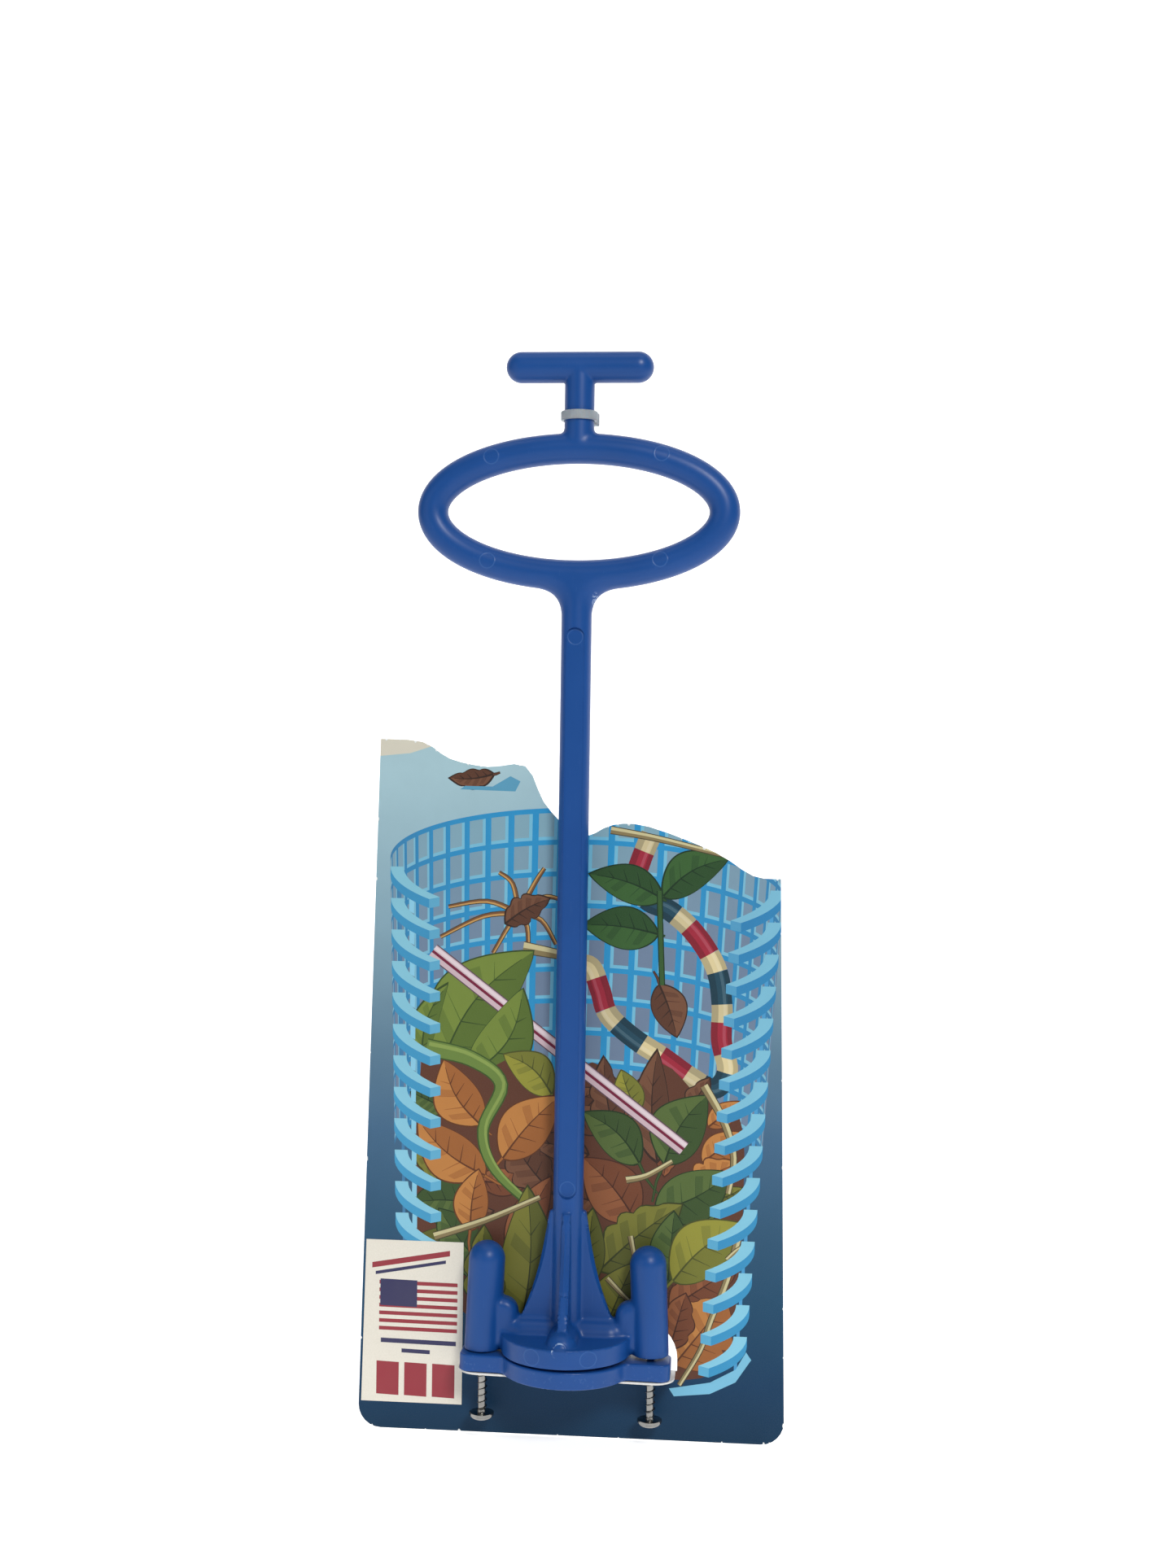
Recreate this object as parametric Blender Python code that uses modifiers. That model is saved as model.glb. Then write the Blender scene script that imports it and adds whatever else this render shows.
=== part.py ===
"""Handle for lifting a pool skimmer basket, on its display card.

The frame is metres with +Z up the shaft. The front, which the recessed panel faces,
is -Y. The origin is on the shaft's axis, in the plane of the handle's underside, where
the floor of a basket would be gripped between the handle and the clamp plate.
"""

import math

import bmesh
import bpy
from mathutils import Matrix, Vector

# ---------------------------------------------------------------------------
# Driving dimensions, in millimetres and degrees
# ---------------------------------------------------------------------------
MM = 0.001
GAP = 0.3                   # clearance that touching pieces keep

# base of the handle: a round foot, a cross of low ribs, four fins, two posts
DISC_DIAMETER = 50.8
DISC_THICKNESS = 7.5
RIB_DIAMETER = 12.6         # the low ribs under the fins are half-sunk round bars
SIDE_RIB_WIDTH = 14.2       # the ribs towards the posts are wider than they are high
RIB_INSET = 1.9             # from the rim of the foot to the end of a rib
RIB_SINK = 0.6              # their axes lie this far below the top of the foot
FIN_THICKNESS = 3.4
FIN_TOP = 55.0
FIN_STEP = 1.2              # the square step at a fin's top, out from the shaft
FIN_FOOT_INSET = 7.6        # from the rim of the foot to the foot of a fin
FIN_CURVE_RADIUS = 88.0     # the hollow edge of a fin
FIN_TOE = 0.3               # square edge of a fin's foot, above the ribs

POST_SPACING = 66.0         # between the two screw axes
POST_DIAMETER = 14.2
POST_CROWN = 9.7            # solid top of a post, above its bore
POST_LEAN = 2.3             # degrees, tops towards the shaft
WEB_THICKNESS = 8.0
WEB_HEIGHT = 20.5
WEB_RADIUS = 5.8

# shaft, hand ring, neck and T-bar
SHAFT_DIAMETER = 11.8
SHAFT_LENGTH = 302.4        # from the underside up to the middle of the ring's lower tube
PANEL_WIDTH = 7.2
PANEL_TO_FINS = 5.5
PANEL_TO_RING = 20.4
PANEL_DEPTH = 1.25          # below the crown of the shaft
RING_WIDTH = 125.7
RING_HEIGHT = 61.1
RING_TUBE = 11.9
RING_FILLET = 9.0           # where the shaft spreads into the ring
NECK_LENGTH = 31.4          # between the middles of the ring's upper tube and of the T-bar
NECK_DIAMETER = 11.5
NECK_FILLET = 3.2
TBAR_LENGTH = 57.5
TBAR_DIAMETER = 12.1

# clamp plate
PLATE_THICKNESS = 6.6
PLATE_TILT = 0.9            # degrees, hanging lower on the right
WING_OVERHANG = 8.0         # beyond the screw axes
WING_FRONT = 9.2            # in front of the screw axes
WING_BACK = 7.0
WING_CORNER = 4.0

# screws: pan head, coarse thread for plastic
SCREW_DIAMETER = 4.2
SCREW_LENGTH = 38.1
SCREW_HEAD_DIAMETER = 9.75
SCREW_HEAD_HEIGHT = 2.9
SCREW_HEAD_BELOW = 25.3     # underside of the head, below the handle's underside
SCREW_POINT = 4.5
RECESS_WIDTH = 1.1
RECESS_SPAN = 4.6
RECESS_DEPTH = 1.5
BORE_SPARE = 3.6            # room above the point of a screw that is driven right in

# cable tie round the neck
TIE_WIDTH = 3.6
TIE_THICKNESS = 1.2
TIE_ABOVE_RING = 12.4       # from the middle of the ring's upper tube
TIE_LOCK = (4.6, 4.2, 5.2)  # lock head: outward, along the band, up
TIE_LOCK_ANGLE = 58.0       # degrees behind the right-hand side
TIE_TAIL = 5.5

# display card, its folded flap, its sticker
CARD_THICKNESS = 0.7
CARD_SHIFT = 0.8            # the card's centre line, to the right of the shaft
CARD_BOTTOM = -36.0
CARD_BOTTOM_WIDTH = 169.0
CARD_TAPER = 1.2            # degrees that each side leans in, going up
CARD_CORNER = 9.0
FLAP_MARGIN = 1.3           # beyond the plate's wings, on each side
FLAP_LENGTH = 17.0
FLAP_CORNER = 8.4
FLAP_DRIFT = -0.5           # the folded flap sits a little left of its window
WINDOW_CORNER = 15.0        # upper corners of the window that the flap leaves
CLAMP_TRAVEL = 3.0          # how far the plate and the card can drop together
NOTCH_CLEARANCE = 0.8       # beyond that travel, and beside the rear rib and fin
STICKER_HEIGHT = 64.5
STICKER_BOTTOM = -25.5
STICKER_INSET = 1.0         # from the card's left edge
STICKER_TO_HOLE = 0.6
STICKER_THICKNESS = 0.15

# the die-cut top edge of the card, from its left side to its right side:
# distance from the card's centre line, height
CARD_CREST = (
    (-62.0, 237.0), (-51.0, 230.5), (-36.0, 227.5), (-21.0, 228.0), (-13.5, 214.0),
    (-4.0, 204.0), (4.0, 201.0), (14.0, 205.5), (28.0, 205.0), (54.0, 195.5), (69.0, 186.5),
)
CARD_LEFT_TOP = 238.0
CARD_RIGHT_TOP = 185.5

# ---------------------------------------------------------------------------
# Worked out from the driving dimensions
# ---------------------------------------------------------------------------
SCREW_X = POST_SPACING / 2
SHAFT_RADIUS = SHAFT_DIAMETER / 2
RIB_LENGTH = DISC_DIAMETER - 2 * RIB_INSET
RIB_AXIS_HEIGHT = DISC_THICKNESS - RIB_SINK
RIB_TOP = RIB_AXIS_HEIGHT + RIB_DIAMETER / 2
FIN_TOP_REACH = SHAFT_RADIUS + FIN_STEP
FIN_FOOT_REACH = DISC_DIAMETER / 2 - FIN_FOOT_INSET
RING_RADIUS_X = (RING_WIDTH - RING_TUBE) / 2
RING_RADIUS_Z = (RING_HEIGHT - RING_TUBE) / 2
RING_CENTRE = SHAFT_LENGTH + RING_RADIUS_Z
RING_TOP = RING_CENTRE + RING_RADIUS_Z
TBAR_CENTRE = RING_TOP + NECK_LENGTH
TIE_HEIGHT = RING_TOP + TIE_ABOVE_RING
PANEL_BOTTOM = FIN_TOP + PANEL_TO_FINS
PANEL_TOP = SHAFT_LENGTH - PANEL_TO_RING
WING_SPAN = POST_SPACING + 2 * WING_OVERHANG
FLAP_WIDTH = WING_SPAN + 2 * FLAP_MARGIN
TILT_DROP = WING_SPAN * math.sin(math.radians(PLATE_TILT))
PLATE_DROP = GAP + TILT_DROP / 2
CLAMP_STACK = 2 * GAP + PLATE_THICKNESS + CARD_THICKNESS + TILT_DROP
BORE_DEPTH = SCREW_LENGTH - CLAMP_STACK + BORE_SPARE
POST_HEIGHT = BORE_DEPTH + POST_CROWN
POST_BACK = POST_DIAMETER / 2
CARD_FRONT = max(POST_BACK, WING_BACK, RING_TUBE / 2, SHAFT_RADIUS) + GAP + 0.1
FLAP_FRONT = CARD_FRONT - FLAP_LENGTH
HOLE_TOP = DISC_THICKNESS + CLAMP_TRAVEL + NOTCH_CLEARANCE
BORE_DIAMETER = SCREW_DIAMETER + 2 * GAP
CLEARANCE_HOLE = SCREW_DIAMETER + 4 * GAP


# ---------------------------------------------------------------------------
# Helpers
# ---------------------------------------------------------------------------
def new_collection(name):
    collection = bpy.data.collections.new(name)
    bpy.context.scene.collection.children.link(collection)
    return collection


def new_material(name, colour, roughness, metallic=0.0):
    material = bpy.data.materials.new(name)
    material.use_nodes = True
    shader = material.node_tree.nodes["Principled BSDF"]
    shader.inputs["Base Color"].default_value = (*colour, 1.0)
    shader.inputs["Roughness"].default_value = roughness
    shader.inputs["Metallic"].default_value = metallic
    return material


def add_object(name, mesh, collection):
    obj = bpy.data.objects.new(name, mesh)
    collection.objects.link(obj)
    return obj


def finish(obj, material, smooth_angle=35.0):
    """Give a part its material and shade its round faces smooth."""
    obj.data.materials.clear()
    obj.data.materials.append(material)
    obj.data.shade_smooth()
    obj.data.set_sharp_from_angle(angle=math.radians(smooth_angle))
    return obj


def as_tool(obj):
    """Mark an object as a shape that is only joined to, or cut from, a part."""
    obj.hide_render = True
    obj.display_type = "WIRE"
    return obj


def cylinder(name, radius, bottom, top, collection, segments=32, centre=(0.0, 0.0)):
    """An upright cylinder between two heights."""
    shape = bmesh.new()
    middle = Vector((centre[0], centre[1], (bottom + top) / 2)) * MM
    bmesh.ops.create_cone(
        shape, cap_ends=True, segments=segments, radius1=radius * MM, radius2=radius * MM,
        depth=(top - bottom) * MM, matrix=Matrix.Translation(middle))
    mesh = bpy.data.meshes.new(name)
    shape.to_mesh(mesh)
    shape.free()
    return add_object(name, mesh, collection)


def block(name, size, centre, collection, turn=0.0):
    """A box of the given size; turn is in degrees about its own Z axis."""
    shape = bmesh.new()
    bmesh.ops.create_cube(shape, size=1.0)
    bmesh.ops.scale(shape, vec=Vector(size) * MM, verts=shape.verts)
    mesh = bpy.data.meshes.new(name)
    shape.to_mesh(mesh)
    shape.free()
    obj = add_object(name, mesh, collection)
    obj.location = Vector(centre) * MM
    obj.rotation_euler.z = math.radians(turn)
    return obj


def turned(name, profile, collection, steps=32):
    """A solid turned about Z. The profile gives (radius, height) down its outer side."""
    mesh = bpy.data.meshes.new(name)
    points = [(radius * MM, 0.0, height * MM) for radius, height in profile]
    mesh.from_pydata(points, [(i, i + 1) for i in range(len(points) - 1)], [])
    obj = add_object(name, mesh, collection)
    screw = obj.modifiers.new("Turn", "SCREW")
    screw.axis = "Z"
    screw.angle = math.tau
    screw.steps = steps
    screw.render_steps = steps
    screw.use_merge_vertices = True
    screw.merge_threshold = 1e-6
    screw.use_smooth_shade = True
    return obj


def arc(centre, radius, start, end, count):
    """Points on an arc, angles in degrees, both ends included."""
    points = []
    for i in range(count + 1):
        angle = math.radians(start + (end - start) * i / count)
        points.append((centre[0] + radius * math.cos(angle), centre[1] + radius * math.sin(angle)))
    return points


def as_mesh(obj, collection):
    """Replace a curve object by its mesh, with the caps welded on."""
    depsgraph = bpy.context.evaluated_depsgraph_get()
    mesh = bpy.data.meshes.new_from_object(obj.evaluated_get(depsgraph))
    shape = bmesh.new()
    shape.from_mesh(mesh)
    bmesh.ops.remove_doubles(shape, verts=shape.verts, dist=1e-7)
    bmesh.ops.recalc_face_normals(shape, faces=shape.faces)
    shape.to_mesh(mesh)
    shape.free()
    name = obj.name
    place = obj.matrix_world.copy()
    bpy.data.objects.remove(obj)
    result = add_object(name, mesh, collection)
    result.matrix_world = place
    return result


def flat_solid(name, outlines, thickness, collection):
    """A sheet drawn in X and Z and as thick as given in Y; later outlines are holes."""
    curve = bpy.data.curves.new(name, "CURVE")
    curve.dimensions = "2D"
    curve.fill_mode = "BOTH"
    curve.extrude = thickness / 2 * MM
    for outline in outlines:
        spline = curve.splines.new("POLY")
        spline.points.add(len(outline) - 1)
        for point, (x, z) in zip(spline.points, outline):
            point.co = (x * MM, z * MM, 0.0, 1.0)
        spline.use_cyclic_u = True
    obj = add_object(name, curve, collection)
    obj.rotation_euler.x = math.radians(90)
    bpy.context.view_layer.update()
    return as_mesh(obj, collection)


def round_edges(obj, width, segments=2):
    bevel = obj.modifiers.new("Round edges", "BEVEL")
    bevel.width = width * MM
    bevel.segments = segments
    bevel.limit_method = "ANGLE"
    bevel.angle_limit = math.radians(50)
    return obj


def join_all(obj, collection):
    """Union the object with every shape in a collection of its pieces."""
    union = obj.modifiers.new("Join pieces", "BOOLEAN")
    union.operation = "UNION"
    union.solver = "EXACT"
    union.operand_type = "COLLECTION"
    union.collection = collection


def cut(obj, tool):
    difference = obj.modifiers.new("Cut " + tool.name, "BOOLEAN")
    difference.operation = "DIFFERENCE"
    difference.solver = "EXACT"
    difference.object = tool


def bar_profile(length, diameter):
    """Profile of a round bar with domed ends, centred on the origin."""
    radius = diameter / 2
    straight = length / 2 - radius
    top = arc((0.0, straight), radius, 90, 0, 6)
    bottom = arc((0.0, -straight), radius, 0, -90, 6)
    return [(0.0, length / 2)] + top[1:] + bottom[:-1] + [(0.0, -length / 2)]


def spread_solid(name, diameter, fillet, collection):
    """A round bar that spreads sideways, in X, going up to its top at Z = 0.

    Its sections are slots with round ends, as deep in Y as the bar is thick, and the
    spread is what a ball of the bar's size sweeps when it rolls round the fillet.
    """
    shape = bmesh.new()
    bar = diameter / 2
    sweep = fillet + bar
    levels = 6
    rings = []
    for level in range(levels + 1):
        angle = math.radians(90 * level / levels)
        reach = max(sweep * (1 - math.cos(angle)), 0.02)
        z = sweep * (math.sin(angle) - 1)
        right = [(reach + x, y) for x, y in arc((0.0, 0.0), bar, -90, 90, 9)]
        left = [(-x, -y) for x, y in right]
        rings.append([shape.verts.new((x * MM, y * MM, z * MM)) for x, y in right + left])
    count = len(rings[0])
    for low, high in zip(rings, rings[1:]):
        for i in range(count):
            j = (i + 1) % count
            shape.faces.new((low[i], low[j], high[j], high[i]))
    shape.faces.new(list(reversed(rings[0])))
    shape.faces.new(rings[-1])
    bmesh.ops.recalc_face_normals(shape, faces=shape.faces)
    mesh = bpy.data.meshes.new(name)
    shape.to_mesh(mesh)
    shape.free()
    return add_object(name, mesh, collection)


def tilted_height(x, below):
    """Height of a plane that hangs with the clamp plate, `below` its top face."""
    tilt = math.radians(PLATE_TILT)
    return -PLATE_DROP - below / math.cos(tilt) - x * math.tan(tilt)


# ---------------------------------------------------------------------------
# Handle: one blue moulding
# ---------------------------------------------------------------------------
def fin_outline():
    """Upper half of a pair of fins: a foot on the ribs, hollow edges, a square top."""
    foot_height = RIB_TOP + FIN_TOE
    rise = FIN_TOP - foot_height
    run = FIN_FOOT_REACH - FIN_TOP_REACH
    chord = math.hypot(rise, run)
    sag = math.sqrt(FIN_CURVE_RADIUS ** 2 - (chord / 2) ** 2)
    middle = ((FIN_FOOT_REACH + FIN_TOP_REACH) / 2, (foot_height + FIN_TOP) / 2)
    centre = (middle[0] + sag * rise / chord, middle[1] + sag * run / chord)
    start = math.degrees(math.atan2(foot_height - centre[1], FIN_FOOT_REACH - centre[0]))
    end = math.degrees(math.atan2(FIN_TOP - centre[1], FIN_TOP_REACH - centre[0]))
    if start < 0:
        start += 360
    if end < 0:
        end += 360
    edge = arc(centre, FIN_CURVE_RADIUS, start, end, 10)
    foot = [(FIN_FOOT_REACH, DISC_THICKNESS - 1.0)]
    half = foot + edge
    return half + [(-x, z) for x, z in reversed(half)]


def web_outline(side):
    """Rounded web from a post down to the end of a rib."""
    inner = SCREW_X - POST_DIAMETER / 2 - 1.0
    crown = arc((inner, WEB_HEIGHT - WEB_RADIUS), WEB_RADIUS, 180, 90, 6)
    points = [(inner - WEB_RADIUS, DISC_THICKNESS - 2.0)] + crown
    points += [(SCREW_X, WEB_HEIGHT), (SCREW_X, 1.0), (DISC_DIAMETER / 2 - 2.0, 1.0)]
    return [(side * x, z) for x, z in points]


def build_handle(parts, tools, plastic):
    pieces = new_collection("handle pieces")

    handle = cylinder("handle", DISC_DIAMETER / 2, -1.0, DISC_THICKNESS, parts, segments=56)
    round_edges(handle, 0.5)

    for turn, width in ((0, SIDE_RIB_WIDTH), (90, RIB_DIAMETER)):
        rib = turned("rib %d" % turn, bar_profile(RIB_LENGTH, RIB_DIAMETER), pieces, steps=20)
        rib.rotation_euler = (0.0, math.radians(90), math.radians(turn))
        rib.location.z = RIB_AXIS_HEIGHT * MM
        rib.scale.y = width / RIB_DIAMETER
        fin = flat_solid("fins %d" % turn, [fin_outline()], FIN_THICKNESS, pieces)
        fin.rotation_euler.z = math.radians(turn)

    radius = POST_DIAMETER / 2
    profile = [(0.0, POST_HEIGHT)]
    profile += arc((0.0, POST_HEIGHT - radius), radius, 90, 0, 6)[1:]
    profile += [(radius, -1.5), (0.0, -1.5)]
    for side, label in ((-1, "left"), (1, "right")):
        post = turned("post " + label, profile, pieces, steps=24)
        post.location.x = side * SCREW_X * MM
        post.rotation_euler.y = -side * math.radians(POST_LEAN)
        web = flat_solid("web " + label, [web_outline(side)], WEB_THICKNESS, pieces)
        round_edges(web, WEB_THICKNESS * 0.4, segments=3)

    cylinder("shaft", SHAFT_RADIUS, 2.0, SHAFT_LENGTH, pieces, segments=28)
    shaft_spread = spread_solid("shaft spread", SHAFT_DIAMETER, RING_FILLET, pieces)
    shaft_spread.location.z = SHAFT_LENGTH * MM

    ring = bpy.data.curves.new("ring", "CURVE")
    ring.dimensions = "3D"
    ring.bevel_depth = RING_TUBE / 2 * MM
    ring.bevel_resolution = 4
    spline = ring.splines.new("POLY")
    count = 60
    spline.points.add(count - 1)
    for i, point in enumerate(spline.points):
        angle = math.tau * (i + 0.5) / count
        x = RING_RADIUS_X * math.cos(angle)
        z = RING_CENTRE + RING_RADIUS_Z * math.sin(angle)
        point.co = (x * MM, 0.0, z * MM, 1.0)
    spline.use_cyclic_u = True
    as_mesh(add_object("ring", ring, pieces), pieces)

    cylinder("neck", NECK_DIAMETER / 2, RING_TOP, TBAR_CENTRE, pieces, segments=28)
    neck_spread = spread_solid("neck spread", NECK_DIAMETER, NECK_FILLET, pieces)
    neck_spread.rotation_euler.y = math.radians(180)
    neck_spread.location.z = RING_TOP * MM

    bar = turned("t-bar", bar_profile(TBAR_LENGTH, TBAR_DIAMETER), pieces, steps=24)
    bar.rotation_euler.y = math.radians(90)
    bar.location.z = TBAR_CENTRE * MM

    for piece in pieces.objects:
        as_tool(piece)
    join_all(handle, pieces)

    below = block("space below the handle", (120, 80, 10), (0, 0, -5), tools)
    cut(handle, as_tool(below))
    for side, label in ((-1, "left"), (1, "right")):
        bore = cylinder("bore " + label, BORE_DIAMETER / 2, -3.0, BORE_DEPTH, tools,
                        segments=16, centre=(side * SCREW_X, 0.0))
        cut(handle, as_tool(bore))

    panel_end = PANEL_WIDTH / 2
    panel = arc((0.0, PANEL_TOP - panel_end), panel_end, 0, 180, 10)
    panel += arc((0.0, PANEL_BOTTOM + panel_end), panel_end, 180, 360, 10)
    depth = 6.0
    recess = flat_solid("panel recess", [panel], depth, tools)
    recess.location.y = -(SHAFT_RADIUS - PANEL_DEPTH + depth / 2) * MM
    cut(handle, as_tool(recess))
    return finish(handle, plastic)


# ---------------------------------------------------------------------------
# Clamp plate: the second blue moulding, hung under the handle on the screws
# ---------------------------------------------------------------------------
def hang_with_plate(obj):
    """Place something drawn with the plate's top face at Z = 0 where the plate hangs."""
    obj.location.z = -PLATE_DROP * MM
    obj.rotation_euler.y = math.radians(PLATE_TILT)
    return obj


def rounded_rectangle(left, right, bottom, top, radii, count=5):
    """Outline with its own radius at the corners (left bottom, right bottom, right top, left top)."""
    corners = (
        (left + radii[0], bottom + radii[0], radii[0], 180),
        (right - radii[1], bottom + radii[1], radii[1], 270),
        (right - radii[2], top - radii[2], radii[2], 0),
        (left + radii[3], top - radii[3], radii[3], 90),
    )
    points = []
    for x, y, radius, start in corners:
        if radius > 0:
            points += arc((x, y), radius, start, start + 90, count)
        else:
            points.append((x, y))
    return points


def lay_flat(obj, top):
    """Turn a sheet drawn in X and Z so that it lies flat; its second axis becomes Y."""
    obj.data.transform(Matrix.Rotation(math.radians(-90), 4, "X") @ obj.matrix_world)
    obj.matrix_world = Matrix.Identity(4)
    obj.data.transform(Matrix.Translation((0.0, 0.0, top * MM)))
    return obj


def build_clamp_plate(parts, tools, plastic):
    pieces = new_collection("clamp plate pieces")
    plate = cylinder("clamp_plate", DISC_DIAMETER / 2, -PLATE_THICKNESS, 0.0, parts, segments=56)
    round_edges(plate, 0.5)

    half = WING_SPAN / 2
    outline = rounded_rectangle(-half, half, -WING_FRONT, WING_BACK, [WING_CORNER] * 4)
    wings = flat_solid("wings", [outline], PLATE_THICKNESS - 0.1, pieces)
    lay_flat(wings, -PLATE_THICKNESS / 2)
    round_edges(wings, 0.5)
    as_tool(wings)
    hang_with_plate(wings)
    join_all(plate, pieces)
    for side, label in ((-1, "left"), (1, "right")):
        hole = cylinder("plate hole " + label, CLEARANCE_HOLE / 2, -25.0, 15.0, tools,
                        segments=20, centre=(side * SCREW_X, 0.0))
        cut(plate, as_tool(hole))
    hang_with_plate(plate)
    return finish(plate, plastic)


# ---------------------------------------------------------------------------
# Screws, driven up from below
# ---------------------------------------------------------------------------
def build_screw(name, side, parts, tools, steel):
    """One screw, with its origin on its axis under the head."""
    head = SCREW_HEAD_DIAMETER / 2
    shank = SCREW_DIAMETER / 2
    flat = 1.2
    profile = [(0.0, SCREW_LENGTH), (0.25, SCREW_LENGTH - 0.1)]
    profile += [(shank, SCREW_LENGTH - SCREW_POINT), (shank, 0.0)]
    profile += [(head - 0.25, 0.0), (head, -0.35)]
    crown = 6
    for i in range(1, crown + 1):
        angle = math.radians(90 * i / crown)
        radius = flat + (head - flat) * math.cos(angle)
        profile.append((radius, -0.35 - (SCREW_HEAD_HEIGHT - 0.35) * math.sin(angle)))
    profile.append((0.0, -SCREW_HEAD_HEIGHT))
    screw = turned(name, profile, parts, steps=24)
    screw.location = Vector((side * SCREW_X, 0.0, -SCREW_HEAD_BELOW)) * MM

    bottom = -SCREW_HEAD_BELOW - SCREW_HEAD_HEIGHT
    for turn in (0, 90):
        arm = block(name + " recess %d" % turn, (RECESS_SPAN, RECESS_WIDTH, 2 * RECESS_DEPTH),
                    (side * SCREW_X, 0.0, bottom), tools, turn=45 + turn)
        cut(screw, as_tool(arm))
    return finish(screw, steel)


# ---------------------------------------------------------------------------
# Cable tie round the neck
# ---------------------------------------------------------------------------
def build_cable_tie(parts, tools, nylon):
    pieces = new_collection("cable tie pieces")
    inner = NECK_DIAMETER / 2 + GAP
    outer = inner + TIE_THICKNESS
    tie = cylinder("cable_tie", outer, -TIE_WIDTH / 2, TIE_WIDTH / 2, parts, segments=36)

    angle = math.radians(TIE_LOCK_ANGLE)
    reach = inner + TIE_LOCK[0] / 2
    block("lock head", TIE_LOCK, (reach * math.cos(angle), reach * math.sin(angle), 0.0), pieces,
          turn=TIE_LOCK_ANGLE)
    tail_reach = inner + 2.1
    along = TIE_LOCK[1] / 2 + TIE_TAIL / 2 - 0.5
    place = (tail_reach * math.cos(angle) - along * math.sin(angle),
             tail_reach * math.sin(angle) + along * math.cos(angle), 0.0)
    block("tail", (TIE_THICKNESS, TIE_TAIL, TIE_WIDTH - 0.4), place, pieces, turn=TIE_LOCK_ANGLE)
    for piece in pieces.objects:
        piece.location.z = TIE_HEIGHT * MM
        as_tool(piece)
    join_all(tie, pieces)
    hole = cylinder("tie opening", inner, TIE_HEIGHT - 6, TIE_HEIGHT + 6, tools, segments=36)
    cut(tie, as_tool(hole))
    tie.location.z = TIE_HEIGHT * MM
    return finish(tie, nylon)


# ---------------------------------------------------------------------------
# Display card with its folded flap, and its sticker
# ---------------------------------------------------------------------------
def card_side(z):
    """Half-width of the tapered card at a height."""
    return CARD_BOTTOM_WIDTH / 2 - (z - CARD_BOTTOM) * math.tan(math.radians(CARD_TAPER))


def smooth_line(points, count):
    """A smooth curve through the points, with `count` steps between neighbours."""
    result = []
    padded = [points[0], *points, points[-1]]
    for i in range(1, len(padded) - 2):
        before, a, b, after = (Vector(p) for p in padded[i - 1:i + 3])
        for step in range(count):
            t = step / count
            place = 0.5 * ((2 * a) + (b - before) * t + (2 * before - 5 * a + 4 * b - after) * t ** 2
                           + (3 * a - before - 3 * b + after) * t ** 3)
            result.append(tuple(place))
    result.append(points[-1])
    return result


def card_outline():
    """Tapered card with round bottom corners and the die-cut crest."""
    low = CARD_BOTTOM + CARD_CORNER
    side = card_side(low)
    points = arc((-side + CARD_CORNER, low), CARD_CORNER, 180, 270, 6)
    points += arc((side - CARD_CORNER, low), CARD_CORNER, 270, 360, 6)
    right = (card_side(CARD_RIGHT_TOP), CARD_RIGHT_TOP)
    left = (-card_side(CARD_LEFT_TOP), CARD_LEFT_TOP)
    points += reversed(smooth_line([left, *CARD_CREST, right], 3))
    return [(x + CARD_SHIFT, z) for x, z in points]


def hole_outline():
    """Window left by the flap, with a stepped notch for the rear rib and fin."""
    left = CARD_SHIFT - FLAP_WIDTH / 2
    right = CARD_SHIFT + FLAP_WIDTH / 2
    fold = PLATE_THICKNESS + GAP
    rib = RIB_DIAMETER / 2 + NOTCH_CLEARANCE
    rib_top = RIB_TOP + CLAMP_TRAVEL + NOTCH_CLEARANCE
    fin = FIN_THICKNESS / 2 + NOTCH_CLEARANCE
    fin_top = FIN_TOP + CLAMP_TRAVEL + NOTCH_CLEARANCE
    points = [(left, tilted_height(left, fold)), (right, tilted_height(right, fold))]
    points += arc((right - WINDOW_CORNER, HOLE_TOP - WINDOW_CORNER), WINDOW_CORNER, 0, 90, 8)
    points += [(rib, HOLE_TOP), (rib, rib_top), (fin, rib_top), (fin, fin_top)]
    points += [(-fin, fin_top), (-fin, rib_top), (-rib, rib_top), (-rib, HOLE_TOP)]
    points += arc((left + WINDOW_CORNER, HOLE_TOP - WINDOW_CORNER), WINDOW_CORNER, 90, 180, 8)
    return points


def build_card(parts, board):
    card = flat_solid("display_card", [card_outline(), hole_outline()], CARD_THICKNESS, parts)
    card.location.y = (CARD_FRONT + CARD_THICKNESS / 2) * MM
    return finish(card, board)


def build_flap(parts, tools, board):
    """The flap folded forward out of the card, pierced by the screws."""
    left = CARD_SHIFT + FLAP_DRIFT - FLAP_WIDTH / 2
    right = CARD_SHIFT + FLAP_DRIFT + FLAP_WIDTH / 2
    outline = rounded_rectangle(left, right, FLAP_FRONT, CARD_FRONT - GAP,
                                (FLAP_CORNER, FLAP_CORNER, 0.0, 0.0), count=6)
    flap = flat_solid("card_flap", [outline], CARD_THICKNESS, parts)
    lay_flat(flap, -PLATE_THICKNESS - GAP - CARD_THICKNESS / 2)
    for side, label in ((-1, "left"), (1, "right")):
        hole = cylinder("flap hole " + label, BORE_DIAMETER / 2, -20.0, 10.0, tools,
                        segments=16, centre=(side * SCREW_X, 0.0))
        cut(flap, as_tool(hole))
    hang_with_plate(flap)
    return finish(flap, board)


def build_sticker(parts, paper):
    bottom = STICKER_BOTTOM
    top = STICKER_BOTTOM + STICKER_HEIGHT
    right = CARD_SHIFT - FLAP_WIDTH / 2 - STICKER_TO_HOLE
    outline = [
        (CARD_SHIFT - card_side(bottom) + STICKER_INSET, bottom),
        (right, bottom),
        (right, top),
        (CARD_SHIFT - card_side(top) + STICKER_INSET, top),
    ]
    sticker = flat_solid("sticker", [outline], STICKER_THICKNESS, parts)
    sticker.location.y = (CARD_FRONT - GAP - STICKER_THICKNESS / 2) * MM
    return finish(sticker, paper)


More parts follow.
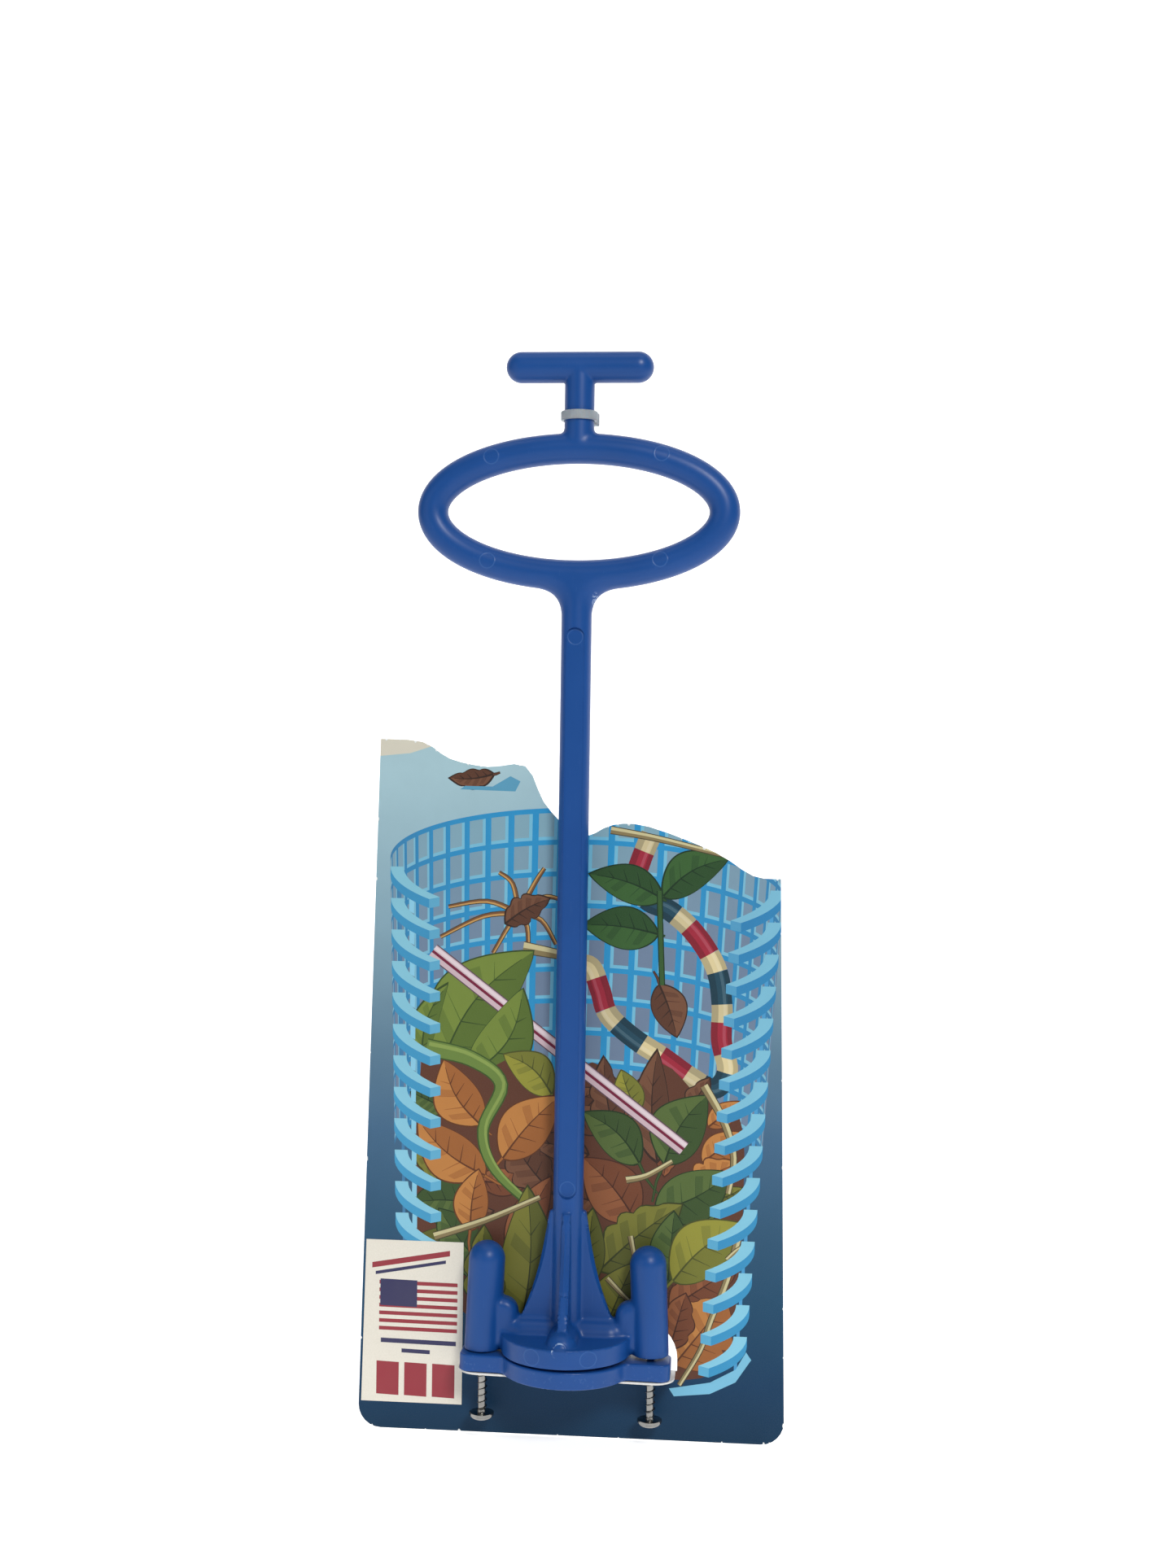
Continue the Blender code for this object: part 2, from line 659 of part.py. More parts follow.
# ---------------------------------------------------------------------------
# Build
# ---------------------------------------------------------------------------
for old in list(bpy.data.objects):
    bpy.data.objects.remove(old)

parts = new_collection("skimmer basket handle")
tools = new_collection("cutters")

blue_plastic = new_material("blue plastic", (0.035, 0.115, 0.40), 0.38)
steel = new_material("stainless steel", (0.60, 0.59, 0.57), 0.28, 1.0)
nylon = new_material("natural nylon", (0.62, 0.68, 0.72), 0.35)
printed_board = new_material("printed board", (0.10, 0.32, 0.48), 0.5)
white_paper = new_material("white paper", (0.80, 0.77, 0.72), 0.55)

build_handle(parts, tools, blue_plastic)
build_clamp_plate(parts, tools, blue_plastic)
build_screw("screw_left", -1, parts, tools, steel)
build_screw("screw_right", 1, parts, tools, steel)
build_cable_tie(parts, tools, nylon)
build_card(parts, printed_board)
build_flap(parts, tools, printed_board)
build_sticker(parts, white_paper)
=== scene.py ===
"""Looks of the skimmer basket handle on its display card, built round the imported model."""

import math
import random

import bmesh
import bpy
import numpy as np
from mathutils import Matrix, Vector
from mathutils.geometry import delaunay_2d_cdt


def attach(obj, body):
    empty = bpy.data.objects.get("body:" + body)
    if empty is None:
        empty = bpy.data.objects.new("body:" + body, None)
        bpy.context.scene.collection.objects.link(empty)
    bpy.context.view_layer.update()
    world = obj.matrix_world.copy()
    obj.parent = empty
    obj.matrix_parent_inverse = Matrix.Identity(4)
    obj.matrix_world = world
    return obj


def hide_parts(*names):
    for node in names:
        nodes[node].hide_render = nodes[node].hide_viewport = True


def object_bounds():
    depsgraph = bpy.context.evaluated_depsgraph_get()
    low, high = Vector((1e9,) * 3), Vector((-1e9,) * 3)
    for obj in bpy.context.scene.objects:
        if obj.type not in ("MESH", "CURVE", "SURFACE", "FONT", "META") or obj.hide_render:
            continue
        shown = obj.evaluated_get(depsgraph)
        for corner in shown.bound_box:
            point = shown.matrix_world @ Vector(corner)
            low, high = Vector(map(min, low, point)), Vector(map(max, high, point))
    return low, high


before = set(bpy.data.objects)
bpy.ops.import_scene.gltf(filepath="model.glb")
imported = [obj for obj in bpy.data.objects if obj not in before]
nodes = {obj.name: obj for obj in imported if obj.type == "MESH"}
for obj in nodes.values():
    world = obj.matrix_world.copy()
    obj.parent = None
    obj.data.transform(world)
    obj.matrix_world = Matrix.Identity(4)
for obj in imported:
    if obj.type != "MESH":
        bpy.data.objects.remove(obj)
cad_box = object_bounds()

# ---------------------------------------------------------------------------
# Handle
# One injection moulding in satin blue polypropylene. Every corner between its round bars
# has a moulded fillet, so the surface is found as one blended distance field, in mm.
# ---------------------------------------------------------------------------
MM = 0.001
DISC_RADIUS = 25.35
DISC_TOP = 7.5
POST_X = 33.0
POST_RADIUS = 7.1
POST_TOP = 42.2
POST_LEAN = math.radians(2.3)
BORE_RADIUS = 2.4
BORE_TOP = 32.5
FIN_HALF = 1.7
PANEL_RADIUS = 3.6
PANEL_ENDS = (64.1, 278.4)
PANEL_FLOOR = -4.5
SHAFT_TOP = 302.4
RING_CENTRE = 327.0
RING_AXES = (56.9, 24.6)
RING_TOP = RING_CENTRE + RING_AXES[1]
TUBE_RADIUS = 5.92
TBAR_HEIGHT = 383.0
TBAR_RADIUS = 6.0
TBAR_HALF = 22.7


def fillet(a, b, radius):
    """Join two distance fields with a concave fillet of about this radius."""
    reach = 1.17 * radius
    near = np.maximum(reach - np.abs(a - b), 0.0) / reach
    return np.minimum(a, b) - near * near * reach / 4


def slab(side, along, low, high, edge):
    """Distance to a flat piece with this side wall, between two planes, with round edges."""
    side = side + edge
    end = np.abs(along - (low + high) / 2) - ((high - low) / 2 - edge)
    outside = np.hypot(np.maximum(side, 0.0), np.maximum(end, 0.0))
    return outside + np.minimum(np.maximum(side, end), 0.0) - edge


def outline_distance(u, v, outline):
    """Signed distance to a closed outline, negative inside."""
    nearest = np.full(u.shape, 1e9)
    inside = np.zeros(u.shape, bool)
    for (au, av), (bu, bv) in zip(outline, outline[1:] + outline[:1]):
        eu = bu - au
        ev = bv - av
        share = np.clip(((u - au) * eu + (v - av) * ev) / (eu * eu + ev * ev), 0.0, 1.0)
        nearest = np.minimum(nearest, (u - au - share * eu) ** 2 + (v - av - share * ev) ** 2)
        if ev != 0.0:
            inside ^= ((av > v) != (bv > v)) & (u < au + eu * (v - av) / ev)
    return np.where(inside, -1.0, 1.0) * np.sqrt(nearest)


def ellipse_distance(u, v, long_axis, short_axis):
    """Distance to the line of an ellipse, by stepping towards its nearest point."""
    u = np.abs(u)
    v = np.abs(v)
    cosine = np.full(u.shape, 0.7071)
    sine = np.full(u.shape, 0.7071)
    stretch = long_axis ** 2 - short_axis ** 2
    for _ in range(4):
        bend_u = stretch * cosine ** 3 / long_axis
        bend_v = -stretch * sine ** 3 / short_axis
        radius = np.hypot(long_axis * cosine - bend_u, short_axis * sine - bend_v)
        away = np.maximum(np.hypot(u - bend_u, v - bend_v), 1e-6)
        cosine = np.clip(((u - bend_u) * radius / away + bend_u) / long_axis, 0.0, 1.0)
        sine = np.clip(((v - bend_v) * radius / away + bend_v) / short_axis, 0.0, 1.0)
        size = np.maximum(np.hypot(cosine, sine), 1e-6)
        cosine = cosine / size
        sine = sine / size
    return np.hypot(long_axis * cosine - u, short_axis * sine - v)


def arc(centre, radius, start, end, count):
    """Points on an arc, angles in degrees, both ends included."""
    points = []
    for i in range(count + 1):
        angle = math.radians(start + (end - start) * i / count)
        points.append((centre[0] + radius * math.cos(angle), centre[1] + radius * math.sin(angle)))
    return points


FIN = [(0.0, 3.0), (17.8, 3.0), (17.8, 13.4), (15.9, 18.0), (14.1, 23.0), (12.4, 28.4),
       (10.9, 34.2), (9.6, 40.4), (8.5, 46.8), (7.6, 52.0), (7.15, 55.0), (0.0, 55.0)]
WEB = [(17.0, 1.0), (19.0, 12.0)] + arc((24.9, 14.7), 5.8, 175, 90, 6) + [(28.5, 20.5), (28.5, 1.0)]


def handle_distance(points):
    x, y, z = points.T
    foot = slab(np.hypot(x, y) - DISC_RADIUS, z, 0.0, DISC_TOP, 0.55)
    side_lobe = np.hypot(np.hypot(np.maximum(np.abs(x) - 16.6, 0.0), y), (z - 6.9) * 1.1) - 6.95
    front_lobe = np.sqrt(x ** 2 + np.maximum(np.abs(y) - 18.2, 0.0) ** 2 + (z - 6.4) ** 2) - 6.1
    foot = fillet(foot, fillet(side_lobe, front_lobe, 1.2), 1.0)

    side_fin = slab(outline_distance(np.abs(x), z, FIN), y, -FIN_HALF, FIN_HALF, 0.45)
    drafted = np.abs(x) - 0.009 * (34.0 - z)
    front_fin = slab(outline_distance(np.abs(y), z, FIN), drafted, -FIN_HALF, FIN_HALF, 0.45)
    foot = fillet(foot, side_fin, 1.4)
    foot = fillet(foot, front_fin, 1.2)

    offset = np.abs(x) - POST_X
    up = z * math.cos(POST_LEAN) - offset * math.sin(POST_LEAN)
    off = z * math.sin(POST_LEAN) + offset * math.cos(POST_LEAN)
    dome = np.maximum(up - (POST_TOP - POST_RADIUS), 0.0)
    post = np.sqrt(off ** 2 + y ** 2 + dome ** 2) - POST_RADIUS
    web = slab(outline_distance(np.abs(x), z, WEB), y, -4.6, 4.6, 3.4)
    post = fillet(post, web, 1.3)
    foot = fillet(foot, post, 1.6)
    foot = -fillet(-foot, z, 0.45)

    ring = ellipse_distance(x, z - RING_CENTRE, *RING_AXES)
    shaft = np.abs(x) + 3.0 * np.maximum(z - SHAFT_TOP + 1.5, 0.0) + 0.03
    neck = np.abs(x) + 3.0 * np.maximum(RING_TOP + 1.5 - z, 0.0) + 0.12
    flat = np.maximum(fillet(fillet(ring, shaft, 9.0), neck, 1.9), 0.0)
    bars = np.maximum(np.hypot(flat, y) - TUBE_RADIUS, z - TBAR_HEIGHT)
    beyond = np.maximum(np.abs(x) - TBAR_HALF, 0.0)
    grip = np.sqrt(beyond ** 2 + y ** 2 + (z - TBAR_HEIGHT) ** 2) - TBAR_RADIUS
    bars = fillet(bars, grip, 0.3)

    bore = np.maximum(np.hypot(np.abs(x) - POST_X, y) - BORE_RADIUS, z - BORE_TOP)
    return np.maximum(fillet(foot, bars, 0.9), -bore)


def settle(obj, distance, rounds=5):
    """Move a mesh's vertices onto the zero surface of a distance field in mm."""
    mesh = obj.data
    places = np.empty(len(mesh.vertices) * 3)
    mesh.vertices.foreach_get("co", places)
    places = places.reshape(-1, 3) / MM
    step = 0.02
    for _ in range(rounds):
        value = distance(places)
        slope = np.stack([distance(places + np.eye(3)[axis] * step) - value for axis in range(3)], 1)
        slope /= step
        size = np.maximum((slope ** 2).sum(1), 0.3)
        move = slope * (value / size)[:, None]
        length = np.maximum(np.linalg.norm(move, axis=1, keepdims=True), 1e-9)
        places -= move * np.minimum(1.0, 1.5 / length)
    mesh.vertices.foreach_set("co", (places * MM).ravel())
    mesh.update()


def add_piece(name, mesh):
    obj = bpy.data.objects.new(name, mesh)
    bpy.context.scene.collection.objects.link(obj)
    return obj


def piece_from(name, shape):
    """An object made of a finished bmesh."""
    mesh = bpy.data.meshes.new(name)
    shape.to_mesh(mesh)
    shape.free()
    return add_piece(name, mesh)


def apply_modifiers(obj):
    evaluated = obj.evaluated_get(bpy.context.evaluated_depsgraph_get())
    mesh = bpy.data.meshes.new_from_object(evaluated)
    obj.modifiers.clear()
    obj.data = mesh


def from_blank(name, node, voxel):
    """An even, fine mesh over the CAD solid, ready to settle on its real surface."""
    obj = add_piece(name, nodes[node].data.copy())
    remesh = obj.modifiers.new("Even mesh", "REMESH")
    remesh.mode = "VOXEL"
    remesh.voxel_size = voxel * MM
    remesh.adaptivity = 0.0
    smooth = obj.modifiers.new("Relax", "SMOOTH")
    smooth.factor = 0.5
    smooth.iterations = 3
    apply_modifiers(obj)
    obj.data.materials.clear()
    return obj


def cut(obj, cutter):
    difference = obj.modifiers.new("Cut", "BOOLEAN")
    difference.operation = "DIFFERENCE"
    difference.solver = "EXACT"
    difference.object = cutter
    apply_modifiers(obj)
    bpy.data.objects.remove(cutter)


def prism(name, outline, low, high):
    """A solid over an outline in X and Z, between two values of Y, all in mm."""
    shape = bmesh.new()
    base = shape.faces.new([shape.verts.new((u * MM, low * MM, v * MM)) for u, v in outline])
    grown = bmesh.ops.extrude_face_region(shape, geom=[base])["geom"]
    moved = [item for item in grown if isinstance(item, bmesh.types.BMVert)]
    bmesh.ops.translate(shape, vec=(0.0, (high - low) * MM, 0.0), verts=moved)
    bmesh.ops.recalc_face_normals(shape, faces=shape.faces)
    return piece_from(name, shape)


def shade(obj, material, angle=40.0):
    obj.data.materials.clear()
    obj.data.materials.append(material)
    obj.data.shade_smooth()
    obj.data.set_sharp_from_angle(angle=math.radians(angle))


def both_ways(operation):
    """An operator of a wire and its reflected form, which both add a Math node."""
    def plain(self, other):
        return self.math(operation, self, other)

    def reflected(self, other):
        return self.math(operation, other, self)

    return plain, reflected


class Wire:
    """A node's output. Arithmetic on it adds Math nodes to its finish."""

    __add__, __radd__ = both_ways("ADD")
    __sub__, __rsub__ = both_ways("SUBTRACT")
    __mul__, __rmul__ = both_ways("MULTIPLY")
    __truediv__, __rtruediv__ = both_ways("DIVIDE")
    __pow__, __rpow__ = both_ways("POWER")

    def __init__(self, finish, socket):
        self.finish = finish
        self.socket = socket

    def math(self, operation, *others):
        return self.finish.node("Math", {"operation": operation}, dict(enumerate(others)))

    def __abs__(self):
        return self.math("ABSOLUTE", self)

    def least(self, other):
        return self.math("MINIMUM", self, other)

    def most(self, other):
        return self.math("MAXIMUM", self, other)

    def step(self, low, high):
        """0 below low, 1 above high, smooth between; low may be the larger of the two."""
        values = {"Value": self, "From Min": low, "From Max": high}
        return self.finish.node("MapRange", {"interpolation_type": "SMOOTHSTEP"}, values)


class Finish:
    """A material on one Principled shader."""

    def __init__(self, name, **constants):
        self.material = bpy.data.materials.new(name)
        self.material.use_nodes = True
        self.tree = self.material.node_tree
        self.shader = self.tree.nodes["Principled BSDF"]
        for socket, value in constants.items():
            self.set(socket.replace("_", " "), value)

    def set(self, socket, value):
        self.feed(self.shader.inputs[socket], value)

    def feed(self, socket, value):
        if isinstance(value, Wire):
            self.tree.links.new(value.socket, socket)
        elif socket.type == "RGBA":
            socket.default_value = (*value, 1.0)
        else:
            socket.default_value = value

    def node(self, kind, settings=None, inputs=None, output=0):
        """Add a node: its settings first, then the values or links of its sockets."""
        node = self.tree.nodes.new("ShaderNode" + kind)
        for name, value in (settings or {}).items():
            if name == "stops":
                ramp = node.color_ramp
                while len(ramp.elements) < len(value):
                    ramp.elements.new(0.5)
                for element, (place, colour) in zip(ramp.elements, value):
                    element.position = place
                    element.color = (*colour, 1.0)
            else:
                setattr(node, name, value)
        for name, value in (inputs or {}).items():
            self.feed(node.inputs[name], value)
        return Wire(self, node.outputs[output])

    def place(self):
        """The point on the piece, in its own frame, as three wires in mm."""
        point = self.node("TexCoord", output=3)
        return [self.node("SeparateXYZ", inputs={0: point}, output=i) * 1000.0 for i in range(3)]

    def noise(self, scale, detail=2.0, stretch=(1.0, 1.0, 1.0)):
        """Noise between 0 and 1, with `scale` waves to a metre."""
        point = self.node("TexCoord", output=3)
        if stretch != (1.0, 1.0, 1.0):
            point = self.node("VectorMath", {"operation": "MULTIPLY"}, {0: point, 1: stretch})
        return self.node("TexNoise", inputs={"Vector": point, "Scale": scale, "Detail": detail})

    def mix(self, share, first, second):
        values = {0: share, 6: first, 7: second}
        return self.node("Mix", {"data_type": "RGBA"}, values, output=2)

    def bump(self, height, depth, strength=1.0):
        """Relief from a height between 0 and 1, `depth` mm deep."""
        values = {"Height": height, "Distance": depth * MM, "Strength": strength}
        return self.node("Bump", inputs=values)


def srgb(red, green, blue):
    """A colour given on the 0 to 255 scale, as linear light."""
    values = []
    for value in (red, green, blue):
        share = value / 255
        values.append(share / 12.92 if share <= 0.04045 else ((share + 0.055) / 1.055) ** 2.4)
    return tuple(values)


def away_from(across, up, centre):
    """Distance from a point given in two of the axes."""
    return ((across - centre[0]) ** 2.0 + (up - centre[1]) ** 2.0) ** 0.5


def ring_mark(across, up, centre, radius, width):
    """A thin circle, as an ejector pin leaves, around a point in two of the axes."""
    return abs(away_from(across, up, centre) - radius).step(width, 0.0)


BLUE = (0.006, 0.066, 0.275)
handle_finish = Finish("moulded blue plastic", IOR=1.49, Specular_IOR_Level=0.35)
x, y, z = handle_finish.place()
front = y.step(-2.0, -3.0)
marks = ring_mark(x, z, (0.0, 278.3), 2.9, 0.35)
for centre in ((0.0, 64.3), (-33.6, 347.8), (32.3, 308.4), (-34.6, 307.6), (32.4, 349.0)):
    marks = marks.most(ring_mark(x, z, centre, 2.9, 0.4))
for across in (-11.0, 10.6):
    marks = marks.most(ring_mark(x, z, (across, 4.0), 3.0, 0.4))
marks = marks * front
GATE = (-0.2, 6.9)
torn = handle_finish.noise(700.0, 4.0)
gate_rim = abs(away_from(x, z, GATE) - 2.7 - (torn - 0.5) * 0.7).step(0.42, 0.1)
gate_rim = gate_rim * front * (z - GATE[1]).step(-2.6, 0.8) * y.step(-18.0, -20.0)
stress = torn.step(0.40, 0.60) * gate_rim * x.step(1.6, 0.4)
scuff_away = ((x - 7.6) ** 2.0 + ((z - 292.4) * 0.5) ** 2.0) ** 0.5
scuff = scuff_away.step(1.9, 0.8) * handle_finish.noise(1100.0, 3.0).step(0.46, 0.56) * x.step(5.6, 6.4)
cloud = handle_finish.noise(38.0, 3.0)
flow = handle_finish.noise(260.0, 2.0, (1.0, 1.0, 0.06))
# Thin vertical scratches: real wear in the roughness and bump, and a painted highlight where they tint
# the colour.
scratch_and_streak_highlight = handle_finish.noise(2600.0, 2.0, (1.0, 1.0, 0.05)).step(0.66, 0.76)
body = handle_finish.mix(cloud, [c * 0.9 for c in BLUE], [c * 1.1 for c in BLUE])
body = handle_finish.mix(marks * 0.3, body, srgb(70, 116, 180))
# Painted highlight: the scratches lighten the blue a little, standing for thin streaks of reflected
# light.
body = handle_finish.mix(scratch_and_streak_highlight * 0.05, body, srgb(110, 150, 205))
body = handle_finish.mix((stress + scuff * 0.8).least(1.0) * 0.8, body, srgb(165, 190, 225))
handle_finish.set("Base Color", body)
handle_finish.set("Roughness", 0.30 + 0.10 * cloud + 0.06 * flow + 0.10 * scratch_and_streak_highlight)
grain = handle_finish.noise(1500.0, 3.0)
relief = grain * 0.12 + flow * 0.25 + marks * 1.2 + gate_rim * 2.0 - scratch_and_streak_highlight * 0.1
handle_finish.set("Normal", handle_finish.bump(relief, 0.06, 0.9))

handle = from_blank("blue_handle", "handle", voxel=0.67)
settle(handle, handle_distance)
panel = arc((0.0, PANEL_ENDS[1]), PANEL_RADIUS, 0, 180, 24)
panel += arc((0.0, PANEL_ENDS[0]), PANEL_RADIUS, 180, 360, 24)
cut(handle, prism("panel cutter", panel, -9.0, PANEL_FLOOR))
shade(handle, handle_finish.material, 32.0)
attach(handle, "handle")
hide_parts("handle")

# ---------------------------------------------------------------------------
# Clamp plate
# A second moulding of the same blue: a round plate with two wings, pierced for the screws.
# It hangs on the screw threads under the handle, a little lower on its right.
# ---------------------------------------------------------------------------
PLATE_THICKNESS = 6.6
PLATE_TILT = math.radians(0.9)
PLATE_DROP = 0.944
SCREW_HOLE = 2.7


def wing_distance(x, y):
    """Distance to the plan of the wings, a rectangle with round corners, 82 by 16.2."""
    across = np.abs(x) - 37.0
    along = np.abs(y + 1.1) - 4.1
    outside = np.hypot(np.maximum(across, 0.0), np.maximum(along, 0.0))
    return outside + np.minimum(np.maximum(across, along), 0.0) - 4.0


def plate_distance(points):
    x, y, z = points.T
    across = x * math.cos(PLATE_TILT) - (z + PLATE_DROP) * math.sin(PLATE_TILT)
    up = x * math.sin(PLATE_TILT) + (z + PLATE_DROP) * math.cos(PLATE_TILT)
    plan = fillet(np.hypot(across, y) - DISC_RADIUS, wing_distance(across, y), 2.0)
    plate = slab(plan, up, -PLATE_THICKNESS, 0.0, 0.6)
    return np.maximum(plate, SCREW_HOLE - np.hypot(np.abs(x) - POST_X, y))


plate = from_blank("clamp_plate_moulding", "clamp_plate", voxel=0.42)
settle(plate, plate_distance)
plate_finish = Finish("moulded blue plate", IOR=1.49, Specular_IOR_Level=0.35)
cloud = plate_finish.noise(45.0, 3.0)
grain = plate_finish.noise(1500.0, 3.0)
worn = plate_finish.noise(700.0, 4.0).step(0.60, 0.72)
body = plate_finish.mix(cloud, [c * 0.92 for c in BLUE], [c * 1.12 for c in BLUE])
plate_finish.set("Base Color", plate_finish.mix(worn * 0.08, body, srgb(130, 165, 215)))
plate_finish.set("Roughness", 0.30 + 0.12 * cloud + 0.08 * worn)
plate_finish.set("Normal", plate_finish.bump(grain * 0.2 + cloud * 0.6, 0.06, 0.9))
shade(plate, plate_finish.material, 32.0)
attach(plate, "clamp")
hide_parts("clamp_plate")

# ---------------------------------------------------------------------------
# Screws
# Two stainless pan-head screws for plastic, with a cross recess and a sharp coarse thread
# on a straight core. They are driven part of the way up into the posts.
# ---------------------------------------------------------------------------
PITCH = 2.54
SCREW_LENGTH = 38.05
CREST_RADIUS = 2.09
CORE_RADIUS = 1.5
HEAD_RADIUS = 4.86
HEAD_HEIGHT = 2.88
HEAD_UNDERSIDE = -25.3


def turned_point(radius, angle, height):
    """A place in metres, at this radius, angle and height about Z, in mm and radians."""
    return (radius * math.cos(angle) * MM, radius * math.sin(angle) * MM, height * MM)


def threaded_shank(name):
    """The threaded shank, whose rows of vertices follow the helix, with its base at Z = 0."""
    turn = ((0.0, CORE_RADIUS), (0.40, CORE_RADIUS), (0.80, CORE_RADIUS), (0.85, CORE_RADIUS + 0.08),
            (0.905, CREST_RADIUS - 0.02), (0.925, CREST_RADIUS), (0.945, CREST_RADIUS - 0.02))
    around = 40
    rows = int(SCREW_LENGTH / PITCH + 2) * len(turn)
    shape = bmesh.new()
    grid = []
    for row in range(rows):
        share, radius = turn[row % len(turn)]
        line = []
        for i in range(around):
            height = (row // len(turn) + share + i / around - 1.0) * PITCH
            height = min(max(height, -0.6), SCREW_LENGTH)
            taper = min(1.0, (SCREW_LENGTH - height) / 5.0 + 0.04) ** 0.75
            rise = min(1.0, max(height - 0.9, 0.0) / 1.2)
            size = (CORE_RADIUS + (radius - CORE_RADIUS) * rise) * taper
            size += 0.35 * max(0.0, 0.45 - height)
            angle = math.tau * i / around
            line.append(shape.verts.new(turned_point(size, angle, height)))
        grid.append(line)
    for row in range(rows - len(turn)):
        for i in range(around - 1):
            shape.faces.new((grid[row][i], grid[row][i + 1], grid[row + 1][i + 1], grid[row + 1][i]))
        above = row + len(turn)
        if above + 1 < rows:
            last = around - 1
            shape.faces.new((grid[row][last], grid[above][0], grid[above + 1][0], grid[row + 1][last]))
    bmesh.ops.remove_doubles(shape, verts=shape.verts, dist=0.002 * MM)
    bmesh.ops.dissolve_degenerate(shape, edges=shape.edges, dist=0.001 * MM)
    bmesh.ops.delete(shape, geom=[v for v in shape.verts if not v.link_faces], context="VERTS")
    bmesh.ops.holes_fill(shape, edges=[e for e in shape.edges if e.is_boundary], sides=0)
    bmesh.ops.recalc_face_normals(shape, faces=shape.faces)
    return piece_from(name, shape)


def turned(name, profile, steps):
    """A solid turned about Z from (radius, height) pairs in mm, which start and end on the axis."""
    shape = bmesh.new()
    rings = []
    for radius, height in profile:
        count = 1 if radius == 0.0 else steps
        rings.append([shape.verts.new(turned_point(radius, math.tau * i / steps, height))
                      for i in range(count)])
    for low, high in zip(rings, rings[1:]):
        for i in range(steps):
            j = (i + 1) % steps
            if len(low) == 1:
                shape.faces.new((low[0], high[i], high[j]))
            elif len(high) == 1:
                shape.faces.new((low[i], high[0], low[j]))
            else:
                shape.faces.new((low[i], high[i], high[j], low[j]))
    bmesh.ops.recalc_face_normals(shape, faces=shape.faces)
    return piece_from(name, shape)


def rounded_box(name, size, centre, edge):
    """A box with round edges, in mm."""
    shape = bmesh.new()
    bmesh.ops.create_cube(shape, size=1.0)
    bmesh.ops.scale(shape, vec=Vector(size) * MM, verts=shape.verts)
    bmesh.ops.translate(shape, vec=Vector(centre) * MM, verts=shape.verts)
    bmesh.ops.bevel(shape, geom=list(shape.edges), offset=edge * MM, segments=3, profile=0.5,
                    affect="EDGES")
    return piece_from(name, shape)


def join(obj, *others):
    """Add the meshes of other objects to this one, where they stand."""
    shape = bmesh.new()
    for piece in (obj, *others):
        bpy.context.view_layer.update()
        mesh = piece.data.copy()
        mesh.transform(obj.matrix_world.inverted() @ piece.matrix_world)
        shape.from_mesh(mesh)
        bpy.data.meshes.remove(mesh)
    shape.to_mesh(obj.data)
    shape.free()
    for piece in others:
        bpy.data.objects.remove(piece)


steel_finish = Finish("stainless steel", Metallic=1.0)
brushed = steel_finish.noise(2200.0, 3.0, (1.0, 1.0, 0.25))
smear = steel_finish.noise(420.0, 2.0)
steel_finish.set("Base Color", steel_finish.mix(smear, srgb(122, 122, 119), srgb(172, 170, 165)))
steel_finish.set("Roughness", 0.12 + 0.10 * brushed + 0.08 * smear)
steel_finish.set("Normal", steel_finish.bump(brushed, 0.012, 0.6))

HEAD = [(0.0, 0.0), (HEAD_RADIUS - 0.2, 0.0), (HEAD_RADIUS - 0.05, -0.08), (HEAD_RADIUS, -0.3)]
HEAD += [(1.3 + (HEAD_RADIUS - 1.3) * math.cos(math.radians(9 * i)),
          -0.5 - (HEAD_HEIGHT - 0.5) * math.sin(math.radians(9 * i))) for i in range(11)]
HEAD += [(0.0, -HEAD_HEIGHT)]

for side, label, spin in ((-1, "left", 0.0), (1, "right", 1.9)):
    head = turned("screw_head_" + label, HEAD, 56)
    for turn in (0, 90):
        arm = rounded_box("arm", (4.6, 1.15, 3.0), (0.0, 0.0, -HEAD_HEIGHT), 0.12)
        arm.rotation_euler.z = math.radians(45 + turn)
        bpy.context.view_layer.update()
        cut(head, arm)
    shank = threaded_shank("thread_" + label)
    shank.rotation_euler.z = spin
    join(head, shank)
    head.name = "pan_head_screw_" + label
    shade(head, steel_finish.material, 38.0)
    head.location = Vector((side * POST_X, 0.0, HEAD_UNDERSIDE)) * MM
    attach(head, "screw_" + label)
    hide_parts("screw_" + label)

# ---------------------------------------------------------------------------
# Cable tie
# A translucent nylon tie, pulled tight round the neck with its lock head behind on the
# right and its tail cut short. Fine teeth run across the band.
# ---------------------------------------------------------------------------
TIE_HEIGHT = 364.0
BAND_ENDS = (72.0, 406.0)
BAND_INNER = 6.0
BAND_OUTER = 7.2
BAND_WIDTH = 3.5
LOCK_TURN = math.radians(58.0)


def toothed_band(name, start, end, teeth):
    """A strap round Z between two angles in degrees, with teeth across its outer face."""
    shape = bmesh.new()
    rows = []
    count = teeth * 4
    half = BAND_WIDTH / 2
    for i in range(count + 1):
        angle = math.radians(start + (end - start) * i / count)
        outer = BAND_OUTER - (0.10 if i % 4 in (1, 2) else 0.0)
        section = ((BAND_INNER, -half), (outer - 0.3, -half), (outer, -half + 0.35),
                   (BAND_OUTER - 0.02, -half + 0.75), (BAND_OUTER - 0.02, half - 0.75),
                   (outer, half - 0.35), (outer - 0.3, half), (BAND_INNER, half))
        if i % 4 in (1, 2):
            section = section[:3] + ((outer, -half + 0.75), (outer, half - 0.75)) + section[5:]
        rows.append([shape.verts.new(turned_point(radius, angle, height))
                     for radius, height in section])
    for first, second in zip(rows, rows[1:]):
        for i in range(len(first)):
            j = (i + 1) % len(first)
            shape.faces.new((first[i], first[j], second[j], second[i]))
    shape.faces.new(rows[0])
    shape.faces.new(list(reversed(rows[-1])))
    bmesh.ops.recalc_face_normals(shape, faces=shape.faces)
    return piece_from(name, shape)


